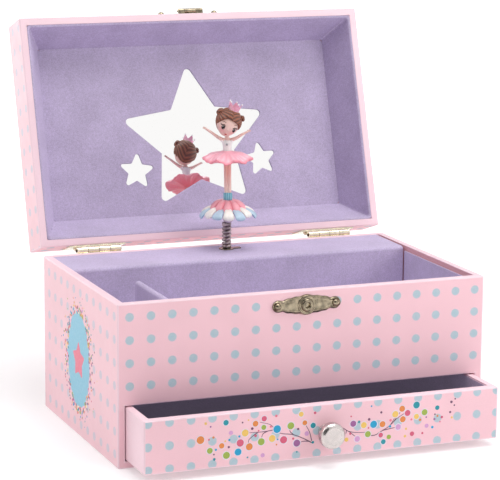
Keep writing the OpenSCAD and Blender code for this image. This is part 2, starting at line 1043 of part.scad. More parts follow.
module dancer_body() {
    shoulder = body_high - 1.6;
    color("white")
        on_platform()
            difference() {
                union() {
                    translate([0, 0, tutu_high])
                        cylinder(h = body_high - tutu_high, r1 = 2.2, r2 = 2.9);
                    translate([0, 0, body_high - 1])
                        cylinder(h = 3.2, r = 1.1);
                    limb([-1.6, 0, shoulder - 0.3], [-12.4, 0, 66.4], 0.9);
                    limb([1.6, 0, shoulder - 0.3], [10.6, 0, 64.4], 0.9);
                }
                translate([0, 0, head_mid])
                    sphere(r = head_r);
            }
}

module dancer_head() {
    color(skin)
        on_platform()
            translate([0, 0, head_mid])
                sphere(r = head_r);
}

module hair_cap() {
    translate([0, 0.8, head_mid + 1.2])
        sphere(r = head_r + 0.6);
}

// Hair cap with a bun at each side
module dancer_hair() {
    color([0.55, 0.33, 0.27])
        on_platform()
            difference() {
                union() {
                    hair_cap();
                    for (s = [-1, 1])
                        translate([s * 6, 1, head_mid + 2.6])
                            sphere(r = 2.2);
                }
                translate([0, 0, head_mid])
                    sphere(r = head_r);
                translate([-10, -12, head_mid - 8])
                    cube([20, 10.5, 10.5]);
                translate([-10, -12, head_mid - 12])
                    cube([20, 24, 8]);
            }
}

module dancer_crown() {
    color([0.95, 0.55, 0.68])
        on_platform()
            difference() {
                translate([2, 0, head_mid + 7.2])
                    cylinder(h = 4.9, r1 = 2.2, r2 = 3.2);
                hair_cap();
            }
}

base_board();
side_boards();
back_board();
front_board();
shelf_board();
floor_lining();
compartment_lining();
divider();
platform_front();
platform_top();
platform_eyelet();
latch_plate();
latch_stud();
latch_nails();
hinge_body_leaves();
hinge_pins();
hinge_body_nails();
movement_bedplate();
comb();
comb_screws();
governor_frame();
movement_screws();
drum();
drum_arbor();
spring_barrel();
mainspring();
winding_arbor();
winding_key();
governor_wheel();
governor_fan();
lid_top_board();
lid_front_board();
lid_back_board();
lid_side_boards();
lid_front_back_cards();
lid_side_cards();
star_panel();
mirror_pane();
hinge_lid_leaves();
hinge_lid_nails();
hasp_plate();
hasp_nails();
hasp_pin();
hasp_tongue();
drawer_front();
drawer_sides();
drawer_back();
drawer_bottom();
drawer_lining();
knob();
knob_screw();
dancer_spring();
dancer_skirt();
dancer_legs();
dancer_tutu();
dancer_body();
dancer_head();
dancer_hair();
dancer_crown();
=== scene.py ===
"""Looks of the ballerina jewellery box: paper, flock, metal and the painted dancer.

Lengths are millimetres in the part's own frame until a mesh is made.
"""

import json
import math
import random

import bmesh
import bpy
from mathutils import Matrix, Vector

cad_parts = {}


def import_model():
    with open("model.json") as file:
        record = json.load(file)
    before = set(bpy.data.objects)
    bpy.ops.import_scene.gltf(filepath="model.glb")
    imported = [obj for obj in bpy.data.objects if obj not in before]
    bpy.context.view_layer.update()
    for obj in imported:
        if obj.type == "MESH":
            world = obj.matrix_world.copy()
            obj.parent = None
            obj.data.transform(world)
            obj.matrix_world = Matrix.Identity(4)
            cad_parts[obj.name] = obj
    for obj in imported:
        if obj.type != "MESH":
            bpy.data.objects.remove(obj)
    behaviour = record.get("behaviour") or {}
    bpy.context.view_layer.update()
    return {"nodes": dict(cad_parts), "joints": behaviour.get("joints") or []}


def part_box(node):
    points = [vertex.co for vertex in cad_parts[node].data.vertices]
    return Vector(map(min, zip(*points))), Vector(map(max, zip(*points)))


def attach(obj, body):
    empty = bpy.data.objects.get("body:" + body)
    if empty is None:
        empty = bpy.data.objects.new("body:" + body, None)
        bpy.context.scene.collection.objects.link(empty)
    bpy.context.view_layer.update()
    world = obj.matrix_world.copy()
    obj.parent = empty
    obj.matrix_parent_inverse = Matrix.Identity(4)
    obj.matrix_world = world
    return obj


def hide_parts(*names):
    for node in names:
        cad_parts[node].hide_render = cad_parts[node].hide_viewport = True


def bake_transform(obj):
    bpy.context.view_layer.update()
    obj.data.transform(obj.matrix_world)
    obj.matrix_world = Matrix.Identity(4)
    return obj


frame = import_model()

MM = 0.001
TURN = 2 * math.pi
X, Y, UP = Vector((1, 0, 0)), Vector((0, 1, 0)), Vector((0, 0, 1))


# ---------------------------------------------------------------- places from the frame

def box_mm(*nodes):
    """Lowest and highest corner of some CAD nodes together."""
    corners = [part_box(node) for node in nodes]
    low = Vector(min(pair[0][i] for pair in corners) for i in range(3)) / MM
    high = Vector(max(pair[1][i] for pair in corners) for i in range(3)) / MM
    return low, high


def joint_named(name):
    return next(joint for joint in frame["joints"] if joint["name"] == name)


HALF_W, HALF_D, RIM_Z = box_mm("base_board", "side_boards", "back_board", "front_board")[1]
INNER_X = box_mm("front_board")[1].x
INNER_Y = box_mm("back_board")[0].y
BASE_TOP = box_mm("base_board")[1].z
SHELF_LOW = box_mm("shelf_board")[0].z

# The lid stands open in the frame, so its heights are given here as it lies shut
lid_hinge = joint_named("lid_hinge")
HINGE_Y, HINGE_Z = (value / MM for value in lid_hinge["pos_m"][1:])
LID_OPEN = math.radians(lid_hinge["range_deg"][1])
LID_GAP = 1.5
LID_H = 23.2
PANEL_UP = 19.8
LID_RIM = RIM_Z + LID_GAP
LID_TOP = LID_RIM + LID_H
PANEL_Z = LID_RIM + PANEL_UP

SPRING_LOW, SPRING_HIGH = box_mm("dancer_spring")
PLATFORM_LOW, PLATFORM_HIGH = box_mm("platform_front", "platform_top")
FIGURE_DROP = 1.2
STAND = Vector(((SPRING_LOW.x + SPRING_HIGH.x) / 2, (SPRING_LOW.y + SPRING_HIGH.y) / 2,
                PLATFORM_HIGH.z - FIGURE_DROP))
HEADING = math.radians(-22)


def opened(point):
    """Moves a point of the shut lid to where it is with the lid open."""
    y, z = point[1] - HINGE_Y, point[2] - HINGE_Z
    c, s = math.cos(-LID_OPEN), math.sin(-LID_OPEN)
    return Vector((point[0], HINGE_Y + y * c - z * s, HINGE_Z + y * s + z * c))


# ---------------------------------------------------------------- meshes

def make(name, points, faces, colours=None):
    """A mesh object from points in millimetres; colours are one RGB per point."""
    mesh = bpy.data.meshes.new(name)
    mesh.from_pydata([Vector(point) * MM for point in points], [], faces)
    if colours:
        layer = mesh.color_attributes.new(name="paint", type="FLOAT_COLOR", domain="POINT")
        for item, colour in zip(layer.data, colours):
            item.color = rgb(*colour)
    mesh.update()
    shape = bmesh.new()
    shape.from_mesh(mesh)
    bmesh.ops.recalc_face_normals(shape, faces=shape.faces)
    shape.to_mesh(mesh)
    shape.free()
    obj = bpy.data.objects.new(name, mesh)
    bpy.context.scene.collection.objects.link(obj)
    return obj


def move(obj, change):
    """Passes every point of a mesh, in millimetres, through a function."""
    for vertex in obj.data.vertices:
        vertex.co = Vector(change(vertex.co / MM)) * MM
    obj.data.update()
    return obj


def bake(obj):
    """Applies an object's modifiers to its mesh."""
    graph = bpy.context.evaluated_depsgraph_get()
    graph.update()
    mesh = bpy.data.meshes.new_from_object(
        obj.evaluated_get(graph), preserve_all_data_layers=True, depsgraph=graph)
    obj.modifiers.clear()
    obj.data = mesh
    return obj


def block(name, low, high):
    """Plain box, used as stock for cutting."""
    xs, ys, zs = zip(low, high)
    points = [(x, y, z) for x in xs for y in ys for z in zs]
    faces = [(0, 1, 3, 2), (4, 6, 7, 5), (0, 4, 5, 1), (2, 3, 7, 6), (0, 2, 6, 4), (1, 5, 7, 3)]
    return make(name, points, faces)


def prism(name, outline, low, high):
    """A flat outline in X and Y drawn up from low to high."""
    return loft(name, [[(x, y, z) for x, y in outline] for z in (low, high)])


def cut(obj, *tools):
    """Takes the tools' shapes out of an object and deletes the tools."""
    for tool in tools:
        modifier = obj.modifiers.new("cut", "BOOLEAN")
        modifier.operation = "DIFFERENCE"
        modifier.solver = "EXACT"
        modifier.object = tool
        bake(obj)
        bpy.data.objects.remove(tool)
    return obj


def drill(obj, start, way, radius, length=12):
    """Bores a round hole."""
    return cut(obj, loft("drill", lathe_rings([(radius, 0), (radius, length)], start, way, 32)))


def round_edges(obj, width, segments=3, angle=40, chosen=None, material=-1):
    """Rounds the sharp edges whose middle point, in millimetres, is chosen."""
    shape = bmesh.new()
    shape.from_mesh(obj.data)
    bmesh.ops.remove_doubles(shape, verts=shape.verts, dist=0.001 * MM)
    bmesh.ops.dissolve_limit(shape, angle_limit=math.radians(0.5), verts=shape.verts,
                             edges=shape.edges)
    edges = []
    for edge in shape.edges:
        if not edge.is_manifold or edge.calc_face_angle() < math.radians(angle):
            continue
        middle = (edge.verts[0].co + edge.verts[1].co) / (2 * MM)
        direction = (edge.verts[1].co - edge.verts[0].co).normalized()
        if chosen is None or chosen(middle, direction):
            edges.append(edge)
    bmesh.ops.bevel(shape, geom=edges, offset=width * MM, offset_type="OFFSET",
                    segments=segments, profile=0.5, affect="EDGES", clamp_overlap=True,
                    material=material)
    shape.to_mesh(obj.data)
    shape.free()
    obj.data.update()
    return obj


def loft(name, rings, loop=False, colours=None):
    """A skin over rings with equal numbers of points, capped or joined end to end."""
    sides = len(rings[0])
    points = [point for ring in rings for point in ring]
    faces = []
    for k in range(len(rings) if loop else len(rings) - 1):
        a = k * sides
        b = (k + 1) % len(rings) * sides
        for i in range(sides):
            j = (i + 1) % sides
            faces.append((a + i, a + j, b + j, b + i))
    if not loop:
        last = (len(rings) - 1) * sides
        faces.append(tuple(range(sides)))
        faces.append(tuple(range(last, last + sides)))
    return make(name, points, faces, colours)


def ring_of(centre, across, along, radius_a, radius_b, sides, turn=0.0):
    """Points of an ellipse in the plane of two directions."""
    angles = [turn + TURN * i / sides for i in range(sides)]
    return [centre + across * (radius_a * math.cos(a)) + along * (radius_b * math.sin(a))
            for a in angles]


def lathe_rings(profile, centre, axis, sides=64):
    """Rings for a turned shape: the profile is (radius, height along the axis) pairs."""
    axis = Vector(axis).normalized()
    across = axis.orthogonal().normalized()
    along = axis.cross(across)
    return [ring_of(Vector(centre) + axis * height, across, along, radius, radius, sides)
            for radius, height in profile]


def tube_rings(path, radii, sides=20, flat=1.0):
    """Rings along a path, with half-round ends; flat squeezes them front to back."""
    path = [Vector(point) for point in path]
    last = len(path) - 1
    tilts = {0: (-80, -55, -30, 0), last: (0, 30, 55, 80)}
    rings = []
    across = None
    for k, (point, radius) in enumerate(zip(path, radii)):
        direction = (path[min(k + 1, last)] - path[max(k - 1, 0)]).normalized()
        across = across or direction.orthogonal().normalized()
        across = (across - direction * across.dot(direction)).normalized()
        along = direction.cross(across)
        for tilt in tilts.get(k, (0,)):
            t = math.radians(tilt)
            wide = radius * math.cos(t)
            rings.append(ring_of(point + direction * radius * math.sin(t), across, along,
                                 wide, wide * flat, sides))
    return rings


def smooth_path(points, steps=8):
    """A smooth line through points, as Catmull-Rom spans."""
    points = [Vector(point) for point in points]
    padded = [2 * points[0] - points[1]] + points + [2 * points[-1] - points[-2]]
    path = []
    for k in range(1, len(padded) - 2):
        a, b, c, d = padded[k - 1:k + 3]
        for step in range(steps):
            t = step / steps
            path.append(0.5 * (2 * b + (c - a) * t + (2 * a - 5 * b + 4 * c - d) * t * t
                               + (3 * b - a - 3 * c + d) * t ** 3))
    return path + [points[-1]]


def rounded(outline, radius, steps=5, dip_radius=None):
    """A closed flat outline with each corner turned into an arc.

    With a dip radius every second corner is a dip, and the round tips still reach
    the outline's own points.
    """
    corners = [Vector(point) for point in outline]
    radii = [radius] * len(corners)
    if dip_radius:
        radii = [radius, dip_radius] * (len(corners) // 2)
        for k in range(0, len(corners), 2):
            tip, before, after = corners[k], corners[k - 1], corners[(k + 1) % len(corners)]
            half = (before - tip).angle(after - tip) / 2
            way = ((tip - before).normalized() + (tip - after).normalized()).normalized()
            corners[k] = tip + way * radius * (1 / math.sin(half) - 1)
    result = []
    for k, corner in enumerate(corners):
        radius = radii[k]
        back = (corners[k - 1] - corner).normalized()
        on = (corners[(k + 1) % len(corners)] - corner).normalized()
        half = back.angle(on) / 2
        reach = radius / math.tan(half)
        centre = corner + (back + on).normalized() * (radius / math.sin(half))
        start = corner + back * reach - centre
        end = corner + on * reach - centre
        for step in range(steps + 1):
            result.append(centre + start.slerp(end, step / steps) * radius)
    return result


def rounded_rectangle(low_x, low_y, high_x, high_y, radius, steps=6):
    return rounded([(low_x, low_y), (high_x, low_y), (high_x, high_y), (low_x, high_y)],
                   radius, steps)


def smooth(obj, angle=40, weighted=False):
    """Smooth shading up to an angle; weighted keeps big flat faces flat."""
    obj.data.shade_smooth()
    if weighted:
        obj.data.set_sharp_from_angle(angle=math.radians(80))
        modifier = obj.modifiers.new("normals", "WEIGHTED_NORMAL")
        modifier.keep_sharp = True
        bake(obj)
    else:
        obj.data.set_sharp_from_angle(angle=math.radians(angle))
    return obj


def finish(obj, body, slot, *replaced, materials=()):
    """Gives a piece its materials and its body and hides the CAD nodes that it stands for; the slot
    is not used.
    """
    for material in materials:
        obj.data.materials.append(material)
    if body:
        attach(obj, body)
    if replaced:
        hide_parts(*replaced)
    return obj


# ---------------------------------------------------------------- materials

def linear(value):
    value /= 255
    return value / 12.92 if value <= 0.04045 else ((value + 0.055) / 1.055) ** 2.4


def rgb(red, green, blue):
    """Screen colour, 0 to 255, as linear RGBA."""
    return (linear(red), linear(green), linear(blue), 1.0)


def shade(colour, factor):
    return tuple(value * factor for value in colour[:3]) + (1.0,)


class Graph:
    """The nodes of a material or a world: most methods add one and return its output."""

    def __init__(self, name, kind=bpy.data.materials):
        self.holder = kind.new(name)
        self.holder.use_nodes = True
        self.nodes = self.holder.node_tree.nodes
        self.links = self.holder.node_tree.links

    def plug(self, socket, value):
        """Links an output to a socket, or sets the socket's own value."""
        if isinstance(value, bpy.types.NodeSocket):
            self.links.new(value, socket)
        else:
            socket.default_value = value

    def node(self, kind, inputs, output=0, **settings):
        node = self.nodes.new("ShaderNode" + kind)
        for key, value in settings.items():
            setattr(node, key, value)
        for key, value in inputs.items():
            self.plug(node.inputs[key], value)
        return node.outputs[output]

    def split(self, vector):
        """The parts of a vector along X, Y and Z."""
        node = self.nodes.new("ShaderNodeSeparateXYZ")
        self.plug(node.inputs[0], vector)
        return node.outputs

    def noise(self, size, detail=2.0, stretch=(1, 1, 1)):
        """Noise with features of about that many millimetres."""
        where = self.node("TexCoord", {}, output="Object")
        place = self.node("Mapping", {"Vector": where, "Scale": stretch})
        return self.node("TexNoise", {"Vector": place, "Scale": 1 / (size * MM),
                                      "Detail": detail})

    def math(self, operation, a, b=0.0):
        return self.node("Math", {0: a, 1: b}, operation=operation)

    def length(self, a, b):
        return self.math("SQRT", self.math("ADD", self.math("MULTIPLY", a, a),
                                           self.math("MULTIPLY", b, b)))

    def range(self, value, low, high, to_low=0.0, to_high=1.0):
        """The value eased from one range into another; a range may run downwards."""
        return self.node("MapRange", {"Value": value, "From Min": low, "From Max": high,
                                      "To Min": to_low, "To Max": to_high},
                         interpolation_type="SMOOTHSTEP")

    def mix(self, factor, a, b, blend="MIX"):
        return self.node("Mix", {0: factor, 6: a, 7: b}, output=2, data_type="RGBA",
                         blend_type=blend)

    def dimmed(self, colour, factor, pattern, low, high):
        """A colour, dimmer by a factor where the pattern is low."""
        dim = self.mix(1.0, colour, (factor, factor, factor, 1.0), blend="MULTIPLY")
        return self.mix(self.range(pattern, low, high), dim, colour)

    def bump(self, height, depth, strength, **others):
        """Relief of a depth in millimetres; others are further inputs, such as Normal."""
        return self.node("Bump", {"Height": height, "Distance": depth * MM,
                                  "Strength": strength, **others})

    def finished(self, end="Principled BSDF", **values):
        """Links or sets the last node's sockets, named with underscores."""
        for key, value in values.items():
            self.plug(self.nodes[end].inputs[key.replace("_", " ")], value)
        return self.holder


DOT_X, DOT_Y = 11.085, 11.65
DOT_R = 2.2
DOT_BLUR = 0.3


def paper(name, base, ink=None):
    """Wood-free wrapping paper with fibres; with an ink it is printed with a grid of dots."""
    graph = Graph(name)
    fibres = graph.noise(0.5, 4, (1, 1, 2.2))
    colour = graph.dimmed(base, 0.965, graph.noise(26, 2), 0.65, 0.35)
    if ink:
        offsets = []
        for part, pitch in zip(graph.split(graph.node("UVMap", {}, uv_map="print")),
                               (DOT_X, DOT_Y)):
            share = graph.math("FRACT", graph.math("ADD", part, 0.5))
            offsets.append(graph.math("MULTIPLY", graph.math("SUBTRACT", share, 0.5), pitch))
        ragged = graph.math("MULTIPLY", graph.math("SUBTRACT", fibres, 0.5), 0.35)
        edge = graph.range(graph.math("ADD", graph.length(*offsets), ragged),
                           DOT_R - DOT_BLUR, DOT_R + DOT_BLUR, 1.0, 0.0)
        press = graph.range(graph.noise(1.3, 3), 0.3, 0.7, 0.86, 1.0)
        colour = graph.mix(graph.math("MULTIPLY", edge, press), colour, ink)
    return graph.finished(
        Base_Color=graph.dimmed(colour, 0.965, fibres, 0.3, 0.7),
        Roughness=graph.range(graph.noise(3, 3), 0.3, 0.7, 0.47, 0.65),
        Normal=graph.bump(fibres, 0.03, 0.35), Specular_IOR_Level=0.25)


def board(name, base):
    """Raw grey board: soft, speckled, with pressed fibres."""
    graph = Graph(name)
    specks = graph.noise(0.6, 5)
    colour = graph.dimmed(base, 0.86, graph.noise(9, 3), 0.3, 0.7)
    return graph.finished(
        Base_Color=graph.mix(graph.range(specks, 0.55, 0.75), colour, shade(base, 1.18)),
        Normal=graph.bump(specks, 0.08, 0.5), Roughness=0.92, Specular_IOR_Level=0.2)


def flock(name, base, sheen, painted_glow=0.0):
    """Short flock: grainy pile with faint brushed patches and a soft sheen; the glow makes it shine
    a little by itself, painted light that lifts its shade.
    """
    graph = Graph(name)
    grain = graph.noise(0.55, 4)
    brushed = graph.range(graph.noise(19, 2), 0.3, 0.7)
    colour = graph.mix(brushed, shade(base, 0.93), shade(base, 1.04))
    colour = graph.dimmed(colour, 0.80, grain, 0.32, 0.68)
    return graph.finished(
        Base_Color=graph.dimmed(colour, 0.93, graph.noise(1.6, 3), 0.35, 0.65),
        Normal=graph.bump(grain, 0.18, 0.55), Roughness=0.95, Specular_IOR_Level=0.15,
        Sheen_Weight=0.45, Sheen_Roughness=0.45, Sheen_Tint=sheen, Emission_Color=base,
        Emission_Strength=painted_glow)


def metal(name, base, roughness, tarnish, stretch=(1, 1, 1)):
    """Plated or plain metal with tarnish in patches, fine scratches and uneven gloss."""
    graph = Graph(name)
    patches = graph.noise(3.2, 4)
    scratches = graph.noise(0.35, 5, stretch)
    colour = graph.dimmed(base, tarnish, patches, 0.3, 0.75)
    return graph.finished(
        Base_Color=graph.mix(graph.range(scratches, 0.6, 0.8), colour, shade(base, 1.08)),
        Roughness=graph.range(graph.math("MULTIPLY", patches, scratches), 0.1, 0.45,
                              roughness * 1.5, roughness * 0.5),
        Normal=graph.bump(scratches, 0.02, 0.35), Metallic=1.0)


def paint(name, roughness=0.38, coat=0.25, soft=0.0):
    """Hand-painted resin, in the mesh's own colours."""
    graph = Graph(name)
    brush = graph.noise(0.9, 3, (1, 1, 0.4))
    colour = graph.node("VertexColor", {}, layer_name="paint")
    return graph.finished(
        Base_Color=graph.dimmed(colour, 0.94, brush, 0.35, 0.65),
        Roughness=graph.range(graph.noise(0.22, 3), 0.3, 0.7, roughness * 0.8,
                              roughness * 1.25),
        Normal=graph.bump(brush, 0.03, 0.3), Specular_IOR_Level=0.45, Coat_Weight=coat,
        Coat_Roughness=0.2, Subsurface_Weight=soft, Subsurface_Scale=0.6 * MM,
        Subsurface_Radius=(1.0, 0.45, 0.35))


def inks(name):
    """Printing inks in the mesh's own colours, a little uneven."""
    graph = Graph(name)
    colour = graph.node("VertexColor", {}, layer_name="paint")
    press = graph.noise(0.45, 3)
    return graph.finished(
        Base_Color=graph.dimmed(colour, 0.92, press, 0.35, 0.65),
        Roughness=graph.range(graph.noise(2, 2), 0.3, 0.7, 0.42, 0.6),
        Normal=graph.bump(press, 0.01, 0.3), Specular_IOR_Level=0.35)


def mirror_film():
    """Silvered plastic mirror, a little uneven; its film lies askew behind the panel."""
    graph = Graph("mirror_film")
    turn = math.radians(7.1)
    facing = Vector((0, -math.sin(LID_OPEN), -math.cos(LID_OPEN)))
    askew = facing * math.cos(turn) - X * math.sin(turn)
    film = graph.node("NormalMap", {"Color": [0.5 + 0.5 * value for value in askew] + [1]},
                      space="OBJECT")
    dust = graph.noise(0.8, 4)
    return graph.finished(
        Base_Color=graph.dimmed(rgb(250, 249, 248), 0.93, dust, 0.8, 0.62),
        Roughness=graph.range(dust, 0.6, 0.85, 0.015, 0.07),
        Normal=graph.bump(graph.noise(30, 1), 0.004, 0.2, Normal=film), Metallic=1.0)


def turned_metal(name, base, centre):
    """Polished metal with fine rings left by the lathe around a Y axis."""
    graph = Graph(name)
    place = graph.split(graph.node("TexCoord", {}, output="Object"))
    radius = graph.length(graph.math("SUBTRACT", place[0], centre.x * MM),
                          graph.math("SUBTRACT", place[2], centre.z * MM))
    ring_pitch = 0.32 * MM
    rings = graph.math("SINE", graph.math("MULTIPLY", radius, TURN / ring_pitch))
    patches = graph.noise(2.5, 4)
    return graph.finished(
        Base_Color=graph.dimmed(base, 0.88, patches, 0.35, 0.7),
        Roughness=graph.range(patches, 0.3, 0.7, 0.16, 0.28),
        Normal=graph.bump(rings, 0.004, 0.35), Metallic=1.0)


def crown_paint():
    """Tinted plastic that lets some light through."""
    graph = Graph("crown_paint")
    cloud = graph.noise(1.2, 3)
    return graph.finished(
        Base_Color=graph.mix(graph.range(cloud, 0.3, 0.7), rgb(254, 172, 202),
                             rgb(255, 204, 222)),
        Roughness=graph.range(cloud, 0.3, 0.7, 0.12, 0.24),
        Normal=graph.bump(graph.noise(0.5, 2), 0.03, 0.3), Transmission_Weight=0.3,
        Coat_Weight=0.4, Coat_Roughness=0.1, IOR=1.45)


PAPER = paper("printed_paper", rgb(244, 200, 209), ink=rgb(172, 196, 206))
# The ends' paper has paler dots: painted glare that washes out the print where the ends face the
# light.
PAPER_END_GLARE = paper("printed_paper_end_glare", rgb(245, 203, 211), ink=rgb(208, 200, 211))
# Paler paper on the rounded edges and rim tops: partly the turned paper's own tone, partly painted
# highlight.
PAPER_EDGE_AND_HIGHLIGHT = paper("turned_paper_and_highlight", rgb(247, 216, 225))
PAPER_INSIDE = paper("inside_paper", rgb(240, 184, 186))
BOARD = board("grey_board", rgb(150, 138, 150))
# lavender_flock and plum_lining glow a little: painted light that brightens their shaded parts.
LAVENDER = flock("lavender_flock", rgb(203, 189, 219), rgb(224, 214, 236), 0.09)
LAVENDER_LID = flock("lavender_flock_lid", rgb(201, 187, 217), rgb(224, 214, 236))
# A darker copy of the lid's flock for the liner's walls that face down and those that face left:
# painted shade.
LAVENDER_PAINTED_SHADE = flock("lavender_flock_painted_shade", rgb(184, 169, 203), rgb(208, 196, 222))
PLUM = flock("plum_lining", rgb(176, 164, 188), rgb(190, 178, 202), 0.1)
NICKEL = metal("nickel_plate", rgb(182, 168, 144), 0.14, 0.36)
GILT = metal("gilt_hinge", rgb(247, 237, 212), 0.2, 0.72)
# Dark gilt for the hinge pins: painted shade in the gaps between the knuckles.
GILT_PIN_SHADE = metal("hinge_pin_painted_shade", rgb(112, 88, 70), 0.4, 0.6)
BRASS = metal("movement_brass", rgb(222, 184, 112), 0.24, 0.8, stretch=(1, 3, 1))
GILT_STEEL = metal("movement_gilt", rgb(214, 190, 140), 0.3, 0.82, stretch=(3, 1, 1))
STEEL = metal("movement_steel", rgb(176, 178, 184), 0.28, 0.75, stretch=(1, 1, 4))
BRIGHT = metal("bright_key", rgb(216, 214, 212), 0.16, 0.85)
SPRING_METAL = metal("dark_spring", rgb(206, 190, 188), 0.3, 0.6)
INKS = inks("print_inks")
PAINTED = paint("skirt_paint")
SKIN = paint("skin_paint", soft=0.12)
FEATURES = paint("feature_paint", roughness=0.7, coat=0.0)


# ---------------------------------------------------------------- printed boards

def lay_print(obj, drop):
    """UVs in cells of the printed grid, laid flat on each face as the wrap is cut."""
    start_x, start_y, start_z = DOT_X / 2 + 0.5, -DOT_X * 0.24, 41.7 - drop
    layer = obj.data.uv_layers.new(name="print")
    for face in obj.data.polygons:
        axis = max(range(3), key=lambda k: abs(face.normal[k]))
        for loop in face.loop_indices:
            point = obj.data.vertices[obj.data.loops[loop].vertex_index].co / MM
            across = point.y - start_y if axis == 0 else point.x - start_x
            up = point.y if axis == 2 else point.z - start_z
            layer.data[loop].uv = (across / DOT_X, up / DOT_Y)


def assign(obj, rule):
    """Gives each face the material index that the rule returns for its middle and normal."""
    for face in obj.data.polygons:
        face.material_index = rule(face.center / MM, face.normal)


# Material slots of a papered carcass
DOTS, EDGE, RAW, END_DOTS, INSIDE = range(5)


def papered(obj, edge, rule, drop=0.0):
    """Rounds a board carcass's edges as folded paper, tighter inside; lays the print on it."""
    for material in (PAPER, PAPER_EDGE_AND_HIGHLIGHT, BOARD, PAPER_END_GLARE, PAPER_INSIDE):
        obj.data.materials.append(material)
    assign(obj, rule)
    points = [vertex.co / MM for vertex in obj.data.vertices]
    low, high = ([pick(point[k] for point in points) for k in (0, 1)] for pick in (min, max))

    def inner(middle, way):
        return all(low[k] + 0.5 < middle[k] < high[k] - 0.5 for k in (0, 1))

    # The rounded edges take the paler edge paper, partly a painted highlight.
    round_edges(obj, edge, segments=3, material=EDGE,
                chosen=lambda middle, way: not inner(middle, way))
    round_edges(obj, 0.3, segments=2, material=EDGE, chosen=inner)
    lay_print(obj, drop)
    return smooth(obj, weighted=True)


def is_inside(middle):
    """Whether a face's middle lies within the boards of the box or the lid."""
    return abs(middle.x) < INNER_X + 0.1 and abs(middle.y) < INNER_Y + 0.1


def outer_slot(normal):
    # The ends take the paper with paler dots, painted glare.
    return END_DOTS if abs(normal.x) > 0.5 else DOTS


def box_body():
    body = block("body_paper", (-HALF_W, -HALF_D, 0), (HALF_W, HALF_D, RIM_Z))
    cut(body,
        block("bay", (-INNER_X, -HALF_D - 5, BASE_TOP), (INNER_X, INNER_Y, SHELF_LOW)),
        block("well", (-INNER_X, -INNER_Y, SHELF_LOW), (INNER_X, INNER_Y, RIM_Z + 5)))

    def skin(middle, normal):
        if is_inside(middle) and 0.1 < middle.z < SHELF_LOW + 0.1:
            return RAW
        if normal.z > 0.5 and middle.z > RIM_Z - 1:
            return EDGE
        if is_inside(middle) and middle.z > 0.1:
            return INSIDE
        return outer_slot(normal)

    papered(body, 0.8, skin)
    key_hole, screw_hole = 2.2, 1.3
    for x, z, radius in ((0, 45, key_hole), (-24, 40, screw_hole), (-24, 73, screw_hole),
                         (17, 68, screw_hole)):
        drill(body, (x, INNER_Y - 4, z), Y, radius)
    finish(body, "box", "printed_paper", "base_board", "side_boards", "back_board",
           "front_board")


# ---------------------------------------------------------------- flock in the box

CARD = 0.9


def wall_lining():
    low, high = box_mm("compartment_lining")
    walls = block("compartment_flock", low, high)
    cut(walls, block("room", (low.x + CARD, low.y + CARD, low.z - 1),
                     (high.x - CARD, high.y + 5, high.z + 1)))
    round_edges(walls, 1.3, 4, chosen=lambda middle, way: abs(way.z) > 0.9
                and abs(middle.x) < high.x - 0.5 and middle.y < low.y + 2)
    round_edges(walls, 0.38, 3, angle=60)
    smooth(walls, weighted=True)
    finish(walls, "box", "lavender_flock", "compartment_lining", materials=[LAVENDER])


def floor_lining():
    """Floor card with a slight ripple that curls up where it meets the walls."""
    low, high = box_mm("floor_lining")
    curl_width, curl_height = 1.8, 0.8

    def floor_height(x, y):
        wall = min(x - low.x, high.x - x, y - low.y, high.y - y) - CARD
        ripple = 0.05 * math.sin(x * 0.11 + 1.3) * math.sin(y * 0.17)
        return high.z + ripple + curl_height * max(0.0, 1 - max(wall, 0) / curl_width) ** 2

    def spaced(start, end, count):
        """Places that lie closer together near both ends."""
        return [start + (end - start) * (0.5 - 0.5 * math.cos(math.pi * i / count))
                for i in range(count + 1)]

    xs = spaced(low.x, high.x, 96)
    rings = [[(x, y, floor_height(x, y)) for x in xs] + [(x, y, low.z) for x in reversed(xs)]
             for y in spaced(low.y, high.y, 42)]
    floor_card = smooth(loft("floor_flock", rings), 50)
    finish(floor_card, "box", "lavender_flock", "floor_lining", materials=[LAVENDER])


def divider():
    low, high = box_mm("divider")
    card = block("divider_flock", low, high)
    round_edges(card, 1.65, 6, chosen=lambda middle, way: abs(way.y) > 0.9
                and middle.z > high.z - 1)
    round_edges(card, 0.3, 2, angle=60)
    smooth(card, weighted=True)
    finish(card, "box", "lavender_flock", "divider", materials=[LAVENDER])


def platform():
    """Flock-wrapped step at the back, hollow over the movement."""
    low, high = PLATFORM_LOW, PLATFORM_HIGH
    front_t, top_t = 2.5, 3.0
    gap = 1.5
    step = block("platform_flock", low, (high.x - gap, high.y, high.z))
    cut(step, block("hollow", (low.x - 1, low.y + front_t, low.z - 1),
                    (high.x + 1, high.y + 1, high.z - top_t)))
    round_edges(step, 1.9, 8, chosen=lambda middle, way: abs(way.x) > 0.9
                and middle.z > high.z - 0.5 and middle.y < low.y + 0.5)
    round_edges(step, 1.4, 5, chosen=lambda middle, way: middle.x > high.x - gap - 0.5
                and middle.z > high.z - 0.5 and abs(way.y) > 0.9)
    round_edges(step, 0.7, 3, angle=50)
    drill(step, (STAND.x, STAND.y, high.z - 8), UP, 2.2)
    smooth(step, weighted=True)
    finish(step, "box", "lavender_flock", "platform_front", "platform_top",
           materials=[LAVENDER])


# ---------------------------------------------------------------- lid

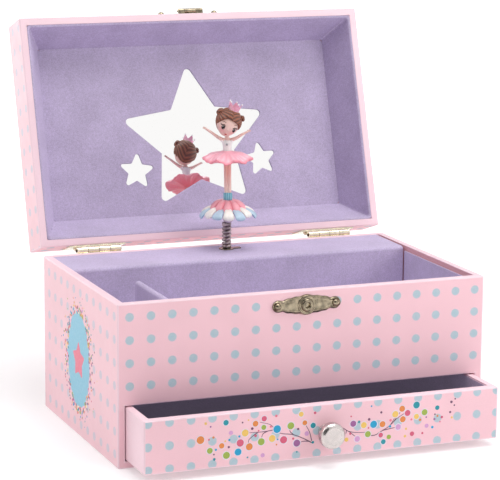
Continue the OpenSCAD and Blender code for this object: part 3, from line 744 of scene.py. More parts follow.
def lid_shell():
    lid = block("lid_paper", (-HALF_W, -HALF_D, LID_RIM), (HALF_W, HALF_D, LID_TOP))
    cut(lid, block("tray", (-INNER_X, -INNER_Y, LID_RIM - 5), (INNER_X, INNER_Y, LID_TOP - 2)))

    def skin(middle, normal):
        if normal.z < -0.5 and middle.z < LID_RIM + 1:
            return EDGE
        return INSIDE if is_inside(middle) and middle.z < LID_TOP - 1 else outer_slot(normal)

    papered(lid, 0.8, skin)
    move(lid, opened)
    smooth(lid, weighted=True)
    finish(lid, "lid", "printed_paper", "lid_top_board", "lid_front_board", "lid_back_board",
           "lid_side_boards")


# Low and high X and Y of the liner at the panel and at the lid's rim
PANEL_RECT = (-85.5, -49.0, 85.5, 47.0)
MOUTH_GAP = 0.02
MOUTH_RECT = (MOUTH_GAP - INNER_X, MOUTH_GAP - INNER_Y, INNER_X - MOUTH_GAP,
              INNER_Y - MOUTH_GAP)


def lid_liner():
    """Splayed flock tray: it rolls over at the rim and runs down to the star panel."""

    def ring(share, z, inset, radius):
        sides = [a + (b - a) * share for a, b in zip(MOUTH_RECT, PANEL_RECT)]
        outline = rounded_rectangle(sides[0] + inset, sides[1] + inset, sides[2] - inset,
                                    sides[3] - inset, radius)
        return [opened((point.x, point.y, z)) for point in outline]

    card = 1.0
    lip = LID_RIM + 0.1
    top, run = lip + 0.5, PANEL_Z - 0.1 - lip - 0.5
    rings = [ring(1.0, PANEL_Z + 0.3, -card, 4.0),
             ring(0.5, LID_RIM + PANEL_UP / 2, -card + 0.2, 4.0),
             ring(0.0, lip + 0.7, 0.0, 1.4), ring(0.0, lip + 0.15, 0.03, 1.4),
             ring(0.0, lip, 0.16, 1.5), ring(0.0, lip + 0.06, 0.55, 1.8),
             ring(0.03, top, 0.85, 1.9)]
    steps = 9
    for share in [step / steps for step in range(1, steps + 1)]:
        bow = 0.35 * math.sin(math.pi * share)
        rings.append(ring(share, top + run * share, 0.85 - bow - 0.85 * share,
                          1.8 - 0.8 * share))
    liner = smooth(loft("lid_liner", rings, loop=True), 50)
    finish(liner, "lid", "lavender_flock", "lid_front_back_cards", "lid_side_cards",
           materials=[LAVENDER_LID, LAVENDER_PAINTED_SHADE])
    # Walls facing down and walls facing left take the darker flock: painted shade.
    assign(liner, lambda middle, normal: int(normal.z < -0.6 or normal.x < -0.6))


def star(tip, dip, turn, centre=(0, 0), points=5):
    """Corners of a star, tip and dip in turn; the first tip points along turn, in degrees."""
    result = []
    for k in range(2 * points):
        angle = math.radians(turn) + math.pi * k / points
        radius = tip if k % 2 == 0 else dip
        result.append((centre[0] + radius * math.cos(angle),
                       centre[1] + radius * math.sin(angle)))
    return result


BIG_STAR = [(0.9, -35.5), (15.6, -13), (42.8, -8.8), (24.9, 12.3), (28.6, 37.8), (3.1, 28.3),
            (-20.9, 39.2), (-19, 12.5), (-38.6, -7), (-11, -12.2)]
# Each opening's corners and the radius of its tips
OPENINGS = [(BIG_STAR, 2.3), (star(10.3, 5.3, -84, (-34.6, 21.7)), 1.2),
            (star(9.9, 5.2, -96, (40, 18.5)), 1.2)]


def star_panel():
    low_z, high_z = PANEL_Z, PANEL_Z + 1.0
    panel = prism("star_panel_flock", rounded_rectangle(-85.9, -49.4, 85.9, 47.4, 3.0),
                  low_z, high_z)
    for outline, tip in OPENINGS:
        cut(panel, prism("opening", rounded(outline, tip, dip_radius=0.8), low_z - 3,
                         high_z + 3))
    round_edges(panel, 0.3, 3, angle=60)
    smooth(panel, weighted=True)
    move(panel, opened)
    finish(panel, "lid", "lavender_flock", "star_panel", materials=[LAVENDER_LID])


# ---------------------------------------------------------------- drawer

def drawer():
    low, high = box_mm("drawer_front", "drawer_sides", "drawer_back")
    floor_low, floor_high = box_mm("drawer_bottom")
    well_low = Vector((floor_low.x, box_mm("drawer_front")[1].y, floor_high.z))
    well_high = Vector((floor_high.x, box_mm("drawer_back")[0].y, high.z + 5))
    tray = block("drawer_paper", low, high)
    cut(tray, block("well", well_low, well_high))

    def skin(middle, normal):
        if middle.z > high.z - 0.1 or well_low.y < middle.y < well_high.y \
                and abs(middle.x) < well_high.x + 0.1:
            return EDGE if middle.z > low.z + 0.1 else DOTS
        return EDGE if abs(normal.x) > 0.5 else DOTS

    papered(tray, 0.75, skin, drop=0.4)
    finish(tray, "drawer", "printed_paper", "drawer_front", "drawer_sides", "drawer_back",
           "drawer_bottom")

    skin_t = 0.4
    top = high.z - 0.9
    liner = block("drawer_liner", well_low, (well_high.x, well_high.y, top))
    cut(liner, block("room", (well_low.x + skin_t, well_low.y + skin_t,
                              box_mm("drawer_lining")[1].z),
                     (well_high.x - skin_t, well_high.y - skin_t, top + 5)))
    round_edges(liner, 0.9, 3, chosen=lambda middle, way: abs(way.z) > 0.9
                and abs(middle.x) < well_high.x - 0.2)
    round_edges(liner, 0.15, 2, angle=60)
    smooth(liner, weighted=True)
    finish(liner, "drawer", "plum_lining", "drawer_lining", materials=[PLUM])


def knob():
    """Turned knob: a foot, a waist and a rimmed head; profile holds (radius, height)."""
    low, high = box_mm("knob")
    centre = Vector((0, high.y, (low.z + high.z) / 2))
    foot = [(1.6, -0.02), (4.2, 0), (4.45, 0.25), (4.45, 0.7), (4.1, 1.0), (3.4, 1.35)]
    waist = [(3.05, 1.9), (3.0, 2.8), (3.2, 3.6), (3.9, 4.25), (5.2, 4.6), (6.0, 4.8),
             (6.4, 5.15)]
    rim = [(0.02, 5.7), (0, 6.4), (0, 7.9), (0.07, 8.7), (0.35, 9.2), (0.9, 9.75),
           (1.5, 10.15), (2.0, 10.36), (2.3, 10.36), (2.6, 10.26)]
    face = [(3.0, 10.3), (1.5, 10.4), (0.4, 10.44), (0.05, 10.45)]
    profile = foot + waist + [(high.x - inset, height) for inset, height in rim] + face
    piece = smooth(loft("drawer_knob", lathe_rings(profile, centre, (0, -1, 0), 96)), 60)
    material = turned_metal("polished_knob", rgb(214, 206, 203), centre)
    finish(piece, "drawer", "polished_knob", "knob", materials=[material])


# ---------------------------------------------------------------- latch

def lobed_half_height(x):
    """Half height of the wavy latch plate at a distance along it."""
    lobes = [(0, 5.3), (5.4, 4.5), (9.7, 3.8), (13, 2.6), (15.4, 3.1)]
    heights = [math.sqrt(max(radius ** 2 - (abs(x) - centre) ** 2, 0.0))
               for centre, radius in lobes]
    return max(sum(height ** 6 for height in heights) ** (1 / 6), 0.25)


def latch():
    low, high = box_mm("latch_plate")
    centre = (low + high) / 2
    face = high.y
    columns, rows = 124, 26
    rings = []
    for k in range(columns + 1):
        x = low.x + (high.x - low.x) * (0.5 - 0.5 * math.cos(math.pi * k / columns))
        half = lobed_half_height(x)
        front = []
        for i in range(rows + 1):
            t = -1 + 2 * i / rows
            z = half * t
            relief = 0.34 + 0.36 * (1 - abs(t) ** 5)
            relief += 0.34 * math.exp(-((abs(t) - 0.72) / 0.12) ** 2)
            for lobe, reach in ((0, 4.2), (10.0, 2.4)):
                spot = (abs(x) - lobe) ** 2 + z * z
                relief += 0.42 * math.exp(-spot / reach ** 2)
            front.append(Vector((x, face - relief, centre.z + z)))
        back = [Vector((x, face, centre.z + half)), Vector((x, face, centre.z - half))]
        rings.append(front + back)
    plate = smooth(loft("latch_plate_embossed", rings), 50)
    finish(plate, "box", "nickel_plate", "latch_plate", materials=[NICKEL])

    hole = 1.3
    section = [(hole, -1.6), (hole, 1.9), (hole + 0.15, 2.35), (hole + 0.5, 2.6), (2.5, 2.6),
               (3.0, 2.4), (3.2, 1.9), (3.35, 1.35), (3.7, 1.1), (4.1, 1.25), (4.5, 1.45),
               (4.85, 1.3), (5.05, 0.95), (5.1, 0.5), (5.0, -0.2), (3.0, -1.6)]
    stud = loft("latch_stud_turned", lathe_rings(section, (centre.x, face, centre.z),
                                                 (0, -1, 0), 72), loop=True)
    smooth(stud, 60)
    finish(stud, "box", "nickel_plate", "latch_stud", materials=[NICKEL])


# ---------------------------------------------------------------- prints

INK = {"blue": (38, 158, 202), "teal": (42, 146, 160), "orange": (226, 138, 74),
       "yellow": (238, 196, 104), "pink": (214, 96, 124), "green": (158, 178, 80),
       "purple": (158, 98, 152), "lilac": (214, 160, 206), "plum": (122, 78, 106),
       "sky": (142, 198, 220), "coral": (236, 128, 148), "twig": (112, 74, 98),
       "halo": (232, 220, 232), "cream": (252, 226, 196)}


class Print:
    """Flat inks on a board face; each mark is a thin closed plate in its own colour."""

    def __init__(self, place):
        self.place = place
        self.points, self.faces, self.colours = [], [], []

    def shape(self, outline, ink, lift):
        start, count = len(self.points), len(outline)
        for height in (-0.03, lift):
            self.points += [self.place(u, v, height) for u, v in outline]
        self.colours += [INK[ink]] * (2 * count)
        top = [start + count + i for i in range(count)]
        self.faces += [tuple(top), tuple(reversed([start + i for i in range(count)]))]
        for i in range(count):
            j = (i + 1) % count
            self.faces.append((start + i, start + j, start + count + j, start + count + i))

    def dot(self, u, v, radius, ink, lift=0.04, halo=0.0):
        if halo:
            self.dot(u, v, radius + halo, "halo", lift - 0.015)
        self.shape([(u + radius * math.cos(TURN * i / 22), v + radius * math.sin(TURN * i / 22))
                    for i in range(22)], ink, lift)

    def twig(self, points, thick, thin, lift=0.03):
        """A drawn line that narrows along its way."""
        path = smooth_path([(u, v, 0) for u, v in points], 5)
        left, right = [], []
        for k, point in enumerate(path):
            way = (path[min(k + 1, len(path) - 1)] - path[max(k - 1, 0)]).normalized()
            side = Vector((-way.y, way.x, 0)) * (thick + (thin - thick) * k / len(path)) / 2
            left.append((point.x + side.x, point.y + side.y))
            right.append((point.x - side.x, point.y - side.y))
        self.shape(left + right[::-1], "twig", lift)

    def piece(self, name, body):
        obj = make(name, self.points, self.faces, self.colours)
        return finish(obj, body, "printed_paper", materials=[INKS])


def spray(print_, marks, twigs, crumbs, spread, seed):
    """Twigs that end in big dots, with small dots scattered around and beyond them."""
    chance = random.Random(seed)
    for points in twigs:
        print_.twig(points, 0.5, 0.22)
    for u, v, radius, ink in marks:
        print_.dot(u, v, radius, ink, 0.055, halo=0.4 if radius > 1.25 else 0.0)
    names = ["plum", "pink", "purple", "orange", "yellow", "blue", "teal", "coral", "plum"]
    placed = [(u, v, radius) for u, v, radius, _ in marks]
    for k in range(crumbs * 8):
        if crumbs == 0:
            break
        u = spread[0] + (spread[1] - spread[0]) * chance.random()
        v = 18.0 + 11.0 * (chance.random() + chance.random() - 1)
        radius = chance.choice((0.45, 0.6, 0.7))
        if all(math.hypot(u - a, v - b) > r + radius + 0.6 for a, b, r in placed):
            print_.dot(u, v, radius, names[k % len(names)], 0.05)
            placed.append((u, v, radius))
            crumbs -= 1


def drawer_print():
    """Two sprays of coloured dots, one each side of the knob."""
    face = box_mm("drawer_front")[0].y
    left = Print(lambda u, v, lift: (u, face - lift, v))
    marks = [(-66.7, 19.2, 2.0, "orange"), (-61.8, 13.3, 1.5, "green"),
             (-55.6, 15.2, 1.4, "orange"), (-53.4, 26.7, 1.4, "teal"),
             (-53.1, 10.1, 1.8, "green"), (-47, 11.2, 1.8, "blue"), (-45.9, 15.7, 1.9, "pink"),
             (-43.3, 20.5, 1.8, "yellow"), (-41.1, 13.3, 1.8, "orange"),
             (-37.9, 24.7, 1.5, "orange"), (-34.8, 15.2, 1.8, "green"),
             (-33.5, 22.4, 1.3, "green"), (-33.3, 26.8, 1.4, "pink"),
             (-29, 16.3, 1.8, "yellow"), (-26.4, 20.8, 2.0, "blue"), (-22.9, 15, 1.9, "pink"),
             (-19.1, 21.8, 1.8, "green"), (-15.8, 12.6, 1.8, "purple"),
             (-13.6, 27.2, 1.3, "yellow"), (-11.6, 22.6, 1.3, "orange"),
             (-10.5, 17, 1.2, "lilac"), (-7.1, 20.8, 1.4, "teal"), (-50.8, 21.3, 1.1, "lilac"),
             (-34, 8.2, 1.1, "lilac")]
    twigs = [[(-7.8, 12), (-12, 14.5), (-18, 17.2), (-24, 18.3), (-27, 20.2), (-30, 23.4),
              (-35.5, 25.2)],
             [(-8.5, 12.8), (-12, 13.2), (-14.5, 12.8)], [(-7.8, 13), (-9, 17.6), (-11.2, 21.6)],
             [(-26.5, 20.8), (-33, 20.2), (-41.5, 20.4)],
             [(-31.5, 20.3), (-34, 19), (-34.7, 16.5)],
             [(-36.5, 20.2), (-39.5, 18.4), (-41.5, 16.5), (-41.2, 14.5)],
             [(-17.5, 17), (-19.5, 19), (-19.2, 20.6)]]
    spray(left, marks, twigs, 26, (-64, -6), 11)
    left.piece("print_spray_left", "drawer")

    right = Print(lambda u, v, lift: (u, face - lift, v))
    marks = [(14.7, 19.6, 1.6, "purple"), (20.5, 18.3, 1.6, "yellow"),
             (25.9, 18.2, 1.9, "blue"), (30.8, 17.8, 1.6, "orange"), (22.8, 13.4, 1.6, "green"),
             (29.9, 12.2, 1.3, "pink"), (17, 11.5, 1.5, "lilac"), (11.1, 11.7, 1.1, "yellow"),
             (31.4, 8.6, 1.3, "teal"), (34.4, 10.8, 1.2, "green"), (37.8, 22.3, 1.7, "yellow"),
             (41.5, 24.8, 1.6, "orange"), (44.6, 22.3, 1.6, "pink"), (42, 19.3, 1.6, "orange"),
             (39.5, 15.5, 1.5, "lilac"), (49.5, 26, 1.8, "teal"), (54.1, 21.8, 1.6, "green"),
             (49.6, 20, 1.4, "yellow"), (61.2, 23.5, 1.2, "teal"), (47.3, 11.2, 1.2, "pink"),
             (55.4, 14.6, 1.1, "lilac")]
    twigs = [[(5.5, 19.8), (9.5, 17.6), (12.5, 15.8), (17, 14.8), (23, 14.4)],
             [(11, 16.6), (10.8, 14.8)], [(12.5, 15.8), (14.5, 14), (16.3, 12.6)],
             [(23, 12.6), (27, 12.6), (31, 14.6), (34.5, 16.4), (36.8, 19.4), (38, 21.4)],
             [(31, 14.6), (36, 15.2), (39, 15.5)], [(35.5, 17.2), (38.5, 19.8), (43, 22.4)],
             [(36.8, 18.4), (39.5, 21.8), (41, 23.8)]]
    spray(right, marks, twigs, 26, (12, 76), 23)
    right.piece("print_spray_right", "drawer")


def medallion(name, side):
    """Sky-blue oval with a star inside a border of confetti, on an end of the box."""
    mark = Print(lambda u, v, lift: (side * (HALF_W + lift), u, v))
    chance = random.Random(5 if side < 0 else 6)
    middle_u, middle_v, half_u, half_v = 1.0, 40.6, 18.3, 25.2
    outline = []
    for i in range(140):
        angle = TURN * i / 140
        wave = 1 + 0.018 * math.sin(14 * angle) + 0.01 * math.sin(23 * angle + 1)
        outline.append((middle_u + half_u * wave * math.cos(angle),
                        middle_v + half_v * wave * math.sin(angle)))
    mark.shape(outline, "sky", 0.03)
    tips = star(9.8, 5.9, 90, (middle_u, middle_v - 0.4))
    mark.shape([tuple(point) for point in rounded(tips, 0.7, dip_radius=0.5)], "coral", 0.05)
    names = ["plum", "pink", "purple", "orange", "yellow", "blue", "teal", "green", "coral",
             "cream", "lilac"]
    for k in range(330):
        angle = TURN * chance.random()
        out = abs(chance.gauss(0, 0.5))
        reach_u = half_u - 0.4 + 10.5 * out
        reach_v = half_v - 0.4 + 7.5 * out
        radius = max(0.4, 0.85 - 0.4 * out) * chance.uniform(0.75, 1.15)
        mark.dot(middle_u + reach_u * math.cos(angle), middle_v + reach_v * math.sin(angle),
                 radius, names[k % len(names)], 0.035 + 0.0001 * k)
    mark.piece(name, "box")


# ---------------------------------------------------------------- dancer

LEAN = Vector((1.1, 0, 0))
FIGURE_H = 62


def on_stand(obj):
    """Stands a dancer piece, made with her feet at the origin, on the platform."""
    turn = Matrix.Rotation(HEADING, 3, "Z")
    return move(obj, lambda point: turn @ (point + LEAN * (1 - point.z / FIGURE_H)) + STAND)


HEAD_MID = Vector((0.3, 0, 69.7))
HEAD_R = 5.9
HEAD_TURN = Matrix.Rotation(math.radians(20), 3, "Y") @ Matrix.Rotation(math.radians(9), 3, "Z")


def on_head(obj):
    """Places a piece made around the middle of the head on the tilted head."""
    move(obj, lambda point: HEAD_TURN @ point + HEAD_MID)
    return on_stand(obj)


def dress(obj, slot, *replaced, material=PAINTED, angle=60, place=on_stand):
    """Smooths a dancer piece, puts it in its place and hands it to her body."""
    finish(place(smooth(obj, angle)), "dancer", slot, *replaced, materials=[material])


def bell(distance, width):
    return math.exp(-(distance / width) ** 2)


def mixed(a, b, share):
    return tuple(x + (y - x) * share for x, y in zip(a, b))


def ease(value, low, high):
    t = min(max((value - low) / (high - low), 0.0), 1.0)
    return t * t * (3 - 2 * t)


def around(angle, radius=1.0, z=0.0):
    """The point at an angle on a level circle."""
    return Vector((radius * math.cos(angle), radius * math.sin(angle), z))


def level_rings(sections, sides, x=0.0, y=0.0):
    """Level ellipses around a place: sections holds (height, half width, half depth)."""
    return [ring_of(Vector((x, y, z)), X, Y, half_w, half_d, sides)
            for z, half_w, half_d in sections]


def plain_loft(name, rings, colour):
    """A loft painted in one colour."""
    return loft(name, rings, colours=[colour] * (len(rings[0]) * len(rings)))


def ball(name, point_at, colour_at=None, rings=60, sides=84):
    """A closed round form: point_at turns a direction into a point."""
    directions = []
    for k in range(rings + 1):
        polar = math.radians(1) + (math.pi - math.radians(2)) * k / rings
        directions.append([Vector((math.sin(polar) * math.cos(TURN * i / sides),
                                   math.sin(polar) * math.sin(TURN * i / sides),
                                   math.cos(polar))) for i in range(sides)])
    grid = [[point_at(way) for way in row] for row in directions]
    colours = [colour_at(way) for row in directions for way in row] if colour_at else None
    return loft(name, grid, colours=colours)


def pearl(name, centre, radius, colour):
    return ball(name, lambda way: Vector(centre) + way * radius, lambda way: colour, 12, 16)


def join_painted(name, parts):
    """Joins painted meshes into one, keeping their paint."""
    points, faces, colours = [], [], []
    for part in parts:
        start = len(points)
        points += [vertex.co / MM for vertex in part.data.vertices]
        faces += [tuple(start + index for index in face.vertices)
                  for face in part.data.polygons]
        layer = part.data.color_attributes["paint"]
        colours += [tuple(item.color[:3]) for item in layer.data]
        bpy.data.objects.remove(part)
    obj = make(name, points, faces)
    layer = obj.data.color_attributes.new(name="paint", type="FLOAT_COLOR", domain="POINT")
    for item, colour in zip(layer.data, colours):
        item.color = (*colour, 1.0)
    return obj


def face_point(way):
    """The doll's face: round, with a smaller chin, full cheeks and a button nose."""
    radius = HEAD_R
    for side in (-1, 1):
        cheek = Vector((side * 0.52, -0.75, -0.42)).normalized()
        radius += 0.28 * bell(way.angle(cheek), 0.38)
    radius += 0.42 * bell(way.angle(Vector((0, -0.95, -0.30)).normalized()), 0.10)
    radius += 0.22 * bell(way.angle(Vector((0, -0.72, -0.70)).normalized()), 0.22)
    point = way * radius
    low = max(-way.z, 0.0)
    point.x *= 1 - 0.16 * low ** 2
    point.y *= 1 - 0.08 * low ** 2
    point.z *= 1 + 0.09 * low ** 2
    return point


def face_way(x, z):
    """Direction from the middle of the head to a place on the face, seen from the front."""
    x, z = x / HEAD_R, z / HEAD_R
    return Vector((x, -math.sqrt(max(1 - x * x - z * z, 0.01)), z)).normalized()


def face_patch(name, centre, half_w, half_h, colour, lift, dome=0.1, lean=0.0):
    """A painted oval that follows the face."""
    rings = []
    for step in range(1, 8):
        share = 1.03 - step / 7 if step < 7 else 0.02
        row = []
        for i in range(28):
            a = TURN * i / 28
            u, v = half_w * share * math.cos(a), half_h * share * math.sin(a)
            u, v = u * math.cos(lean) - v * math.sin(lean), u * math.sin(lean) + v * math.cos(lean)
            way = face_way(centre[0] + u, centre[1] + v)
            row.append(face_point(way) + way * (lift + dome * (1 - share ** 2)
                                                - (0.15 if step == 1 else 0)))
        rings.append(row)
    return loft(name, rings, colours=[colour] * (28 * len(rings)))


def face_stroke(name, places, width, colour, lift=0.12):
    """A painted line that follows the face, such as a lash or a brow."""
    points = []
    for place in smooth_path([(x, 0, z) for x, z in places], 5):
        way = face_way(place.x, place.z)
        points.append(face_point(way) + way * lift)
    radii = [width * (0.35 + 0.65 * math.sin(math.pi * (0.12 + 0.8 * k / len(points))))
             for k in range(len(points))]
    return plain_loft(name, tube_rings(points, radii, 8), colour)


SKIN_TONE, BLUSH = (236, 198, 188), (240, 138, 140)
DARK, IRIS, WHITE, BROW = (40, 24, 28), (70, 42, 40), (252, 250, 248), (140, 88, 74)


def head():
    def colour(way):
        share = 0.0
        for side in (-1, 1):
            cheek = Vector((side * 0.52, -0.74, -0.46)).normalized()
            share += 0.42 * bell(way.angle(cheek), 0.27)
        return mixed(SKIN_TONE, BLUSH, min(share, 1.0))

    dress(ball("doll_face", face_point, colour, 110, 140), "skin_paint", "dancer_head",
          material=SKIN, angle=80, place=on_head)

    parts = []
    for side in (-1, 1):
        x, z = side * 3.05 + 0.35, -1.2
        parts += [
            face_patch("eye", (x, z), 1.12, 1.42, DARK, 0.02, 0.1),
            face_patch("iris", (x, z - 0.45), 0.72, 0.72, IRIS, 0.10, 0.06),
            face_patch("pupil", (x, z - 0.1), 0.55, 0.8, DARK, 0.14, 0.05),
            face_patch("glint", (x - 0.3, z + 0.5), 0.2, 0.24, WHITE, 0.2, 0.05),
            face_patch("spark", (x + 0.35, z - 0.6), 0.1, 0.1, WHITE, 0.2, 0.05),
            face_stroke("lid", [(x - side * 1.0, z + 0.9), (x, z + 1.5), (x + side * 1.05, z + 1.0),
                                (x + side * 1.6, z + 1.15)], 0.2, DARK),
            face_stroke("lash", [(x + side * 0.9, z + 1.15), (x + side * 1.45, z + 1.65)],
                        0.12, DARK),
            face_stroke("brow", [(x - side * 0.8, z + 2.7), (x + side * 0.2, z + 3.05),
                                 (x + side * 1.2, z + 2.75)], 0.13, BROW)]
    parts += [
        face_patch("lips", (-0.05, -4.3), 0.82, 0.42, (214, 74, 74), 0.02, 0.16),
        face_stroke("smile", [(-0.75, -4.1), (-0.05, -4.35), (0.65, -4.1)], 0.09, (150, 44, 50),
                    0.2)]
    dress(join_painted("doll_features", parts), "skin_paint", material=FEATURES, place=on_head)


HAIR_MID = Vector((0.1, 0.7, 2.2))
HAIR_R = 7.0
BUN_WAYS = [Vector((side * 0.88, 0.12, 0.46)).normalized() for side in (-1, 1)]
# Hair paint follows the strands and the buns' twists: painted shade in the grooves, painted
# highlight on the ridges.
HAIR_SHADE, HAIR_HIGHLIGHT = (74, 38, 28), (172, 102, 72)


def hair_strand(way):
    """Wave across the strands, which run from the parting to the bun on each side."""
    side = 0 if way.x < 0.08 * math.sin(3 * way.z) else 1
    bun = BUN_WAYS[side]
    across = bun.cross(UP).normalized()
    along = bun.cross(across)
    around = math.atan2(way.dot(along), way.dot(across))
    distance = way.angle(bun)
    wave = math.sin(20 * around + 2.0 * math.sin(2.5 * distance))
    fine = math.sin(59 * around + 3 * distance)
    return (0.7 * wave + 0.3 * fine) * ease(distance, 0.12, 0.5)


def hair_opening(way):
    """1 where the face shows through the hair, 0 well inside the hair."""
    point = HAIR_MID + way * HAIR_R
    if point.y > 1.0:
        return 0.0
    u = abs(point.x - 0.2) / 5.95
    v = abs(point.z + 2.6) / (7.3 - 1.5 * ease(point.x, -3, 4.5))
    power = 2.1 + 1.6 * ease(point.x, -3, 2)
    share = (u ** power + v ** power) ** (1 / power)
    return (1 - ease(share, 0.96, 1.06)) * ease(-point.y, -1.0, 0.6)


def hair_cap():
    def point_at(way):
        open_share = hair_opening(way)
        radius = HAIR_R + 0.24 * hair_strand(way)
        parting = bell(way.x - 0.08 * math.sin(3 * way.z), 0.03) * ease(way.z, 0.3, 0.7)
        radius -= 0.3 * parting
        nape = 2.0 * ease(-way.z, 0.05, 0.7) * ease(way.y, -0.15, 0.4) * bell(way.x, 0.7)
        return HAIR_MID + way * (radius * (1 - open_share) + 4.4 * open_share) - UP * nape

    def colour_at(way):
        # Darker in the grooves and paler on the strands: painted shade and highlight.
        return mixed(HAIR_SHADE, HAIR_HIGHLIGHT, 0.5 + 0.45 * hair_strand(way))

    dress(ball("hair_cap", point_at, colour_at, 170, 260), "hair_paint", "dancer_hair",
          angle=80, place=on_head)


def bun(way, out, size):
    """A twisted bun on the hair, in the given direction from the middle of the head."""
    centre = HAIR_MID + way * (HAIR_R + out)
    across = way.orthogonal().normalized()
    along = way.cross(across)

    def twist(direction):
        turned = math.atan2(direction.dot(along), direction.dot(across))
        return math.sin(5 * turned + 7 * direction.dot(way))

    def point_at(direction):
        flat = 1 - 0.3 * direction.dot(way) ** 2
        return centre + direction * (size * flat + 0.12 * twist(direction))

    # The bun's paint follows its twist: painted shade and highlight.
    return ball("bun", point_at,
                lambda direction: mixed(HAIR_SHADE, HAIR_HIGHLIGHT, 0.45 + 0.4 * twist(direction)),
                40, 56)


def hair():
    hair_cap()
    buns = [bun(BUN_WAYS[0], -0.2, 2.3), bun(BUN_WAYS[1], 0.6, 1.7)]
    dress(join_painted("hair_buns", buns), "hair_paint", angle=80, place=on_head)


def crown():
    """Flared pink crown with five points, each with a pearl."""
    base = HAIR_MID + Vector((0.4, 0.1, HAIR_R - 1.0))
    peaks, beads = 5, 18
    low, climb = 2.1, 2.3
    section = ((0, 0), (0.25, 0), (0.6, 0), (1, 0.12), (1, 0.33), (0.6, 0.45), (0.25, 0.45),
               (0, 0.45))
    rings = []
    for angle in [TURN * i / 120 for i in range(120)]:
        rise = low + climb * abs(math.cos(peaks * angle / 2)) ** 2.2
        ring = []
        for share, wall in section:
            z = rise * share
            flare = 0.8 * (z / (low + climb)) ** 1.3
            ring.append(base + around(angle, 2.95 + flare - wall, z))
        rings.append(ring)
    dress(loft("crown_ring", rings, loop=True), "crown_paint", "dancer_crown",
          material=crown_paint(), angle=45, place=on_head)

    pearls = [pearl("tip", base + around(TURN * k / peaks, 3.6, 4.55), 0.46, (250, 246, 248))
              for k in range(peaks)]
    pearls += [pearl("bead", base + around(TURN * k / beads, 3.0, 0.28), 0.24, (252, 226, 236))
               for k in range(beads)]
    dress(join_painted("crown_pearls", pearls), "crown_paint", place=on_head)


def bodice():
    """White bodice with puffed sleeves, a beaded waist and a gem."""
    sections = [(54.4, 2.4, 2.1), (55.4, 2.35, 2.05), (56.4, 2.3, 2.0), (57.8, 2.4, 2.1),
                (59.2, 2.6, 2.35), (60.2, 2.62, 2.35), (61.0, 2.45, 2.1), (61.4, 2.2, 1.8),
                (61.5, 1.8, 1.5)]
    parts = [plain_loft("bodice", level_rings(sections, 48, y=0.15), (236, 232, 232))]

    def puff(way):
        fold = 1 + 0.05 * math.sin(9 * math.atan2(way.y, way.z))
        return Vector((way.x * 1.1, way.y * 1.15, way.z * 0.95)) * fold

    for shoulder in (Vector((side * 2.5, 0, 60.9)) for side in (-1, 1)):
        parts.append(ball("puff", lambda way: shoulder + puff(way), lambda way: (250, 248, 250),
                          24, 40))
    for k in range(16):
        way = around(TURN * k / 16)
        parts.append(pearl("waist_bead", (2.38 * way.x, 0.15 + 2.1 * way.y, 55.5), 0.28,
                           (252, 214, 224)))
    dress(join_painted("bodice", parts), "bodice_paint")
    dress(pearl("bodice_gem", (-0.1, -2.3, 59.2), 0.62, (150, 152, 156)), "bodice_paint")


LIMB_TONE = (236, 196, 188)


def limb(name, path, radii, sides, flat=1.0):
    return plain_loft(name, tube_rings(path, radii, sides, flat), LIMB_TONE)


def hand(wrist, way):
    """Palm, four fingers and a thumb that carry on in the arm's direction."""
    side = way.cross(Y).normalized()
    if side.z < 0:
        side = -side
    parts = [limb("palm", [wrist, wrist + way * 0.55, wrist + way * 1.0], [0.5, 0.62, 0.5], 16,
                  0.6)]
    for offset, length in ((-0.36, 0.95), (-0.12, 1.15), (0.12, 1.1), (0.36, 0.9)):
        root = wrist + way * 1.0 + side * offset
        tip = root + way * length + side * offset * 0.5
        parts.append(limb("finger", [root, root.lerp(tip, 0.5), tip], [0.17, 0.16, 0.11], 8))
    parts.append(limb("thumb", [wrist + way * 0.3 + side * 0.4, wrist + way * 0.8 + side * 0.95],
                      [0.2, 0.13], 8))
    return parts


def neck_and_arms():
    """Bare shoulders, the neck and two raised arms."""
    chest = [(61.0, 2.2, 1.75), (61.7, 1.9, 1.5), (62.4, 1.5, 1.25), (62.9, 1.12, 1.1),
             (64.0, 1.02, 1.02), (65.6, 1.1, 1.1)]
    parts = [plain_loft("neck", level_rings(chest, 36, y=0.15), LIMB_TONE)]
    arms = [[(-1.9, 0, 61.3), (-4.9, -0.3, 62.9), (-8.3, -0.6, 65.4), (-11.2, -0.7, 67.3)],
            [(1.9, 0, 61.3), (5.0, -0.3, 62.6), (8.2, -0.6, 64.6), (10.9, -0.7, 66.0)]]
    for path in arms:
        line = smooth_path(path, 8)
        radii = [1.12 - 0.55 * (k / (len(line) - 1)) ** 0.8 for k in range(len(line))]
        parts.append(limb("arm", line, radii, 24))
        wrist = Vector(path[-1])
        parts += hand(wrist, (wrist - Vector(path[-2])).normalized())
    dress(join_painted("neck_and_arms", parts), "skin_paint", "dancer_body", material=SKIN)


def legs():
    """Two legs side by side, paler at the ankles and darker and warmer towards the top, painted
    shade under the tutu.
    """
    pale, warm_shaded = (252, 218, 208), (238, 172, 160)
    shape = [(31.5, 0.98), (33.0, 1.0), (35.5, 1.06), (38.0, 1.05), (40.5, 1.0), (43.0, 1.04),
             (46.0, 1.08), (49.5, 1.12)]
    sections = [(z, radius * 1.08, radius * 1.15) for z, radius in shape]
    sides = 28
    # Darker and warmer towards the top: painted shade under the tutu.
    colours = [mixed(pale, warm_shaded, ease(z, 33, 47)) for z, _ in shape for _ in range(sides)]
    parts = [loft("leg", level_rings(sections, sides, x=side * 0.84), colours=colours)
             for side in (-1, 1)]
    dress(join_painted("legs", parts), "skin_paint", "dancer_legs", material=SKIN)


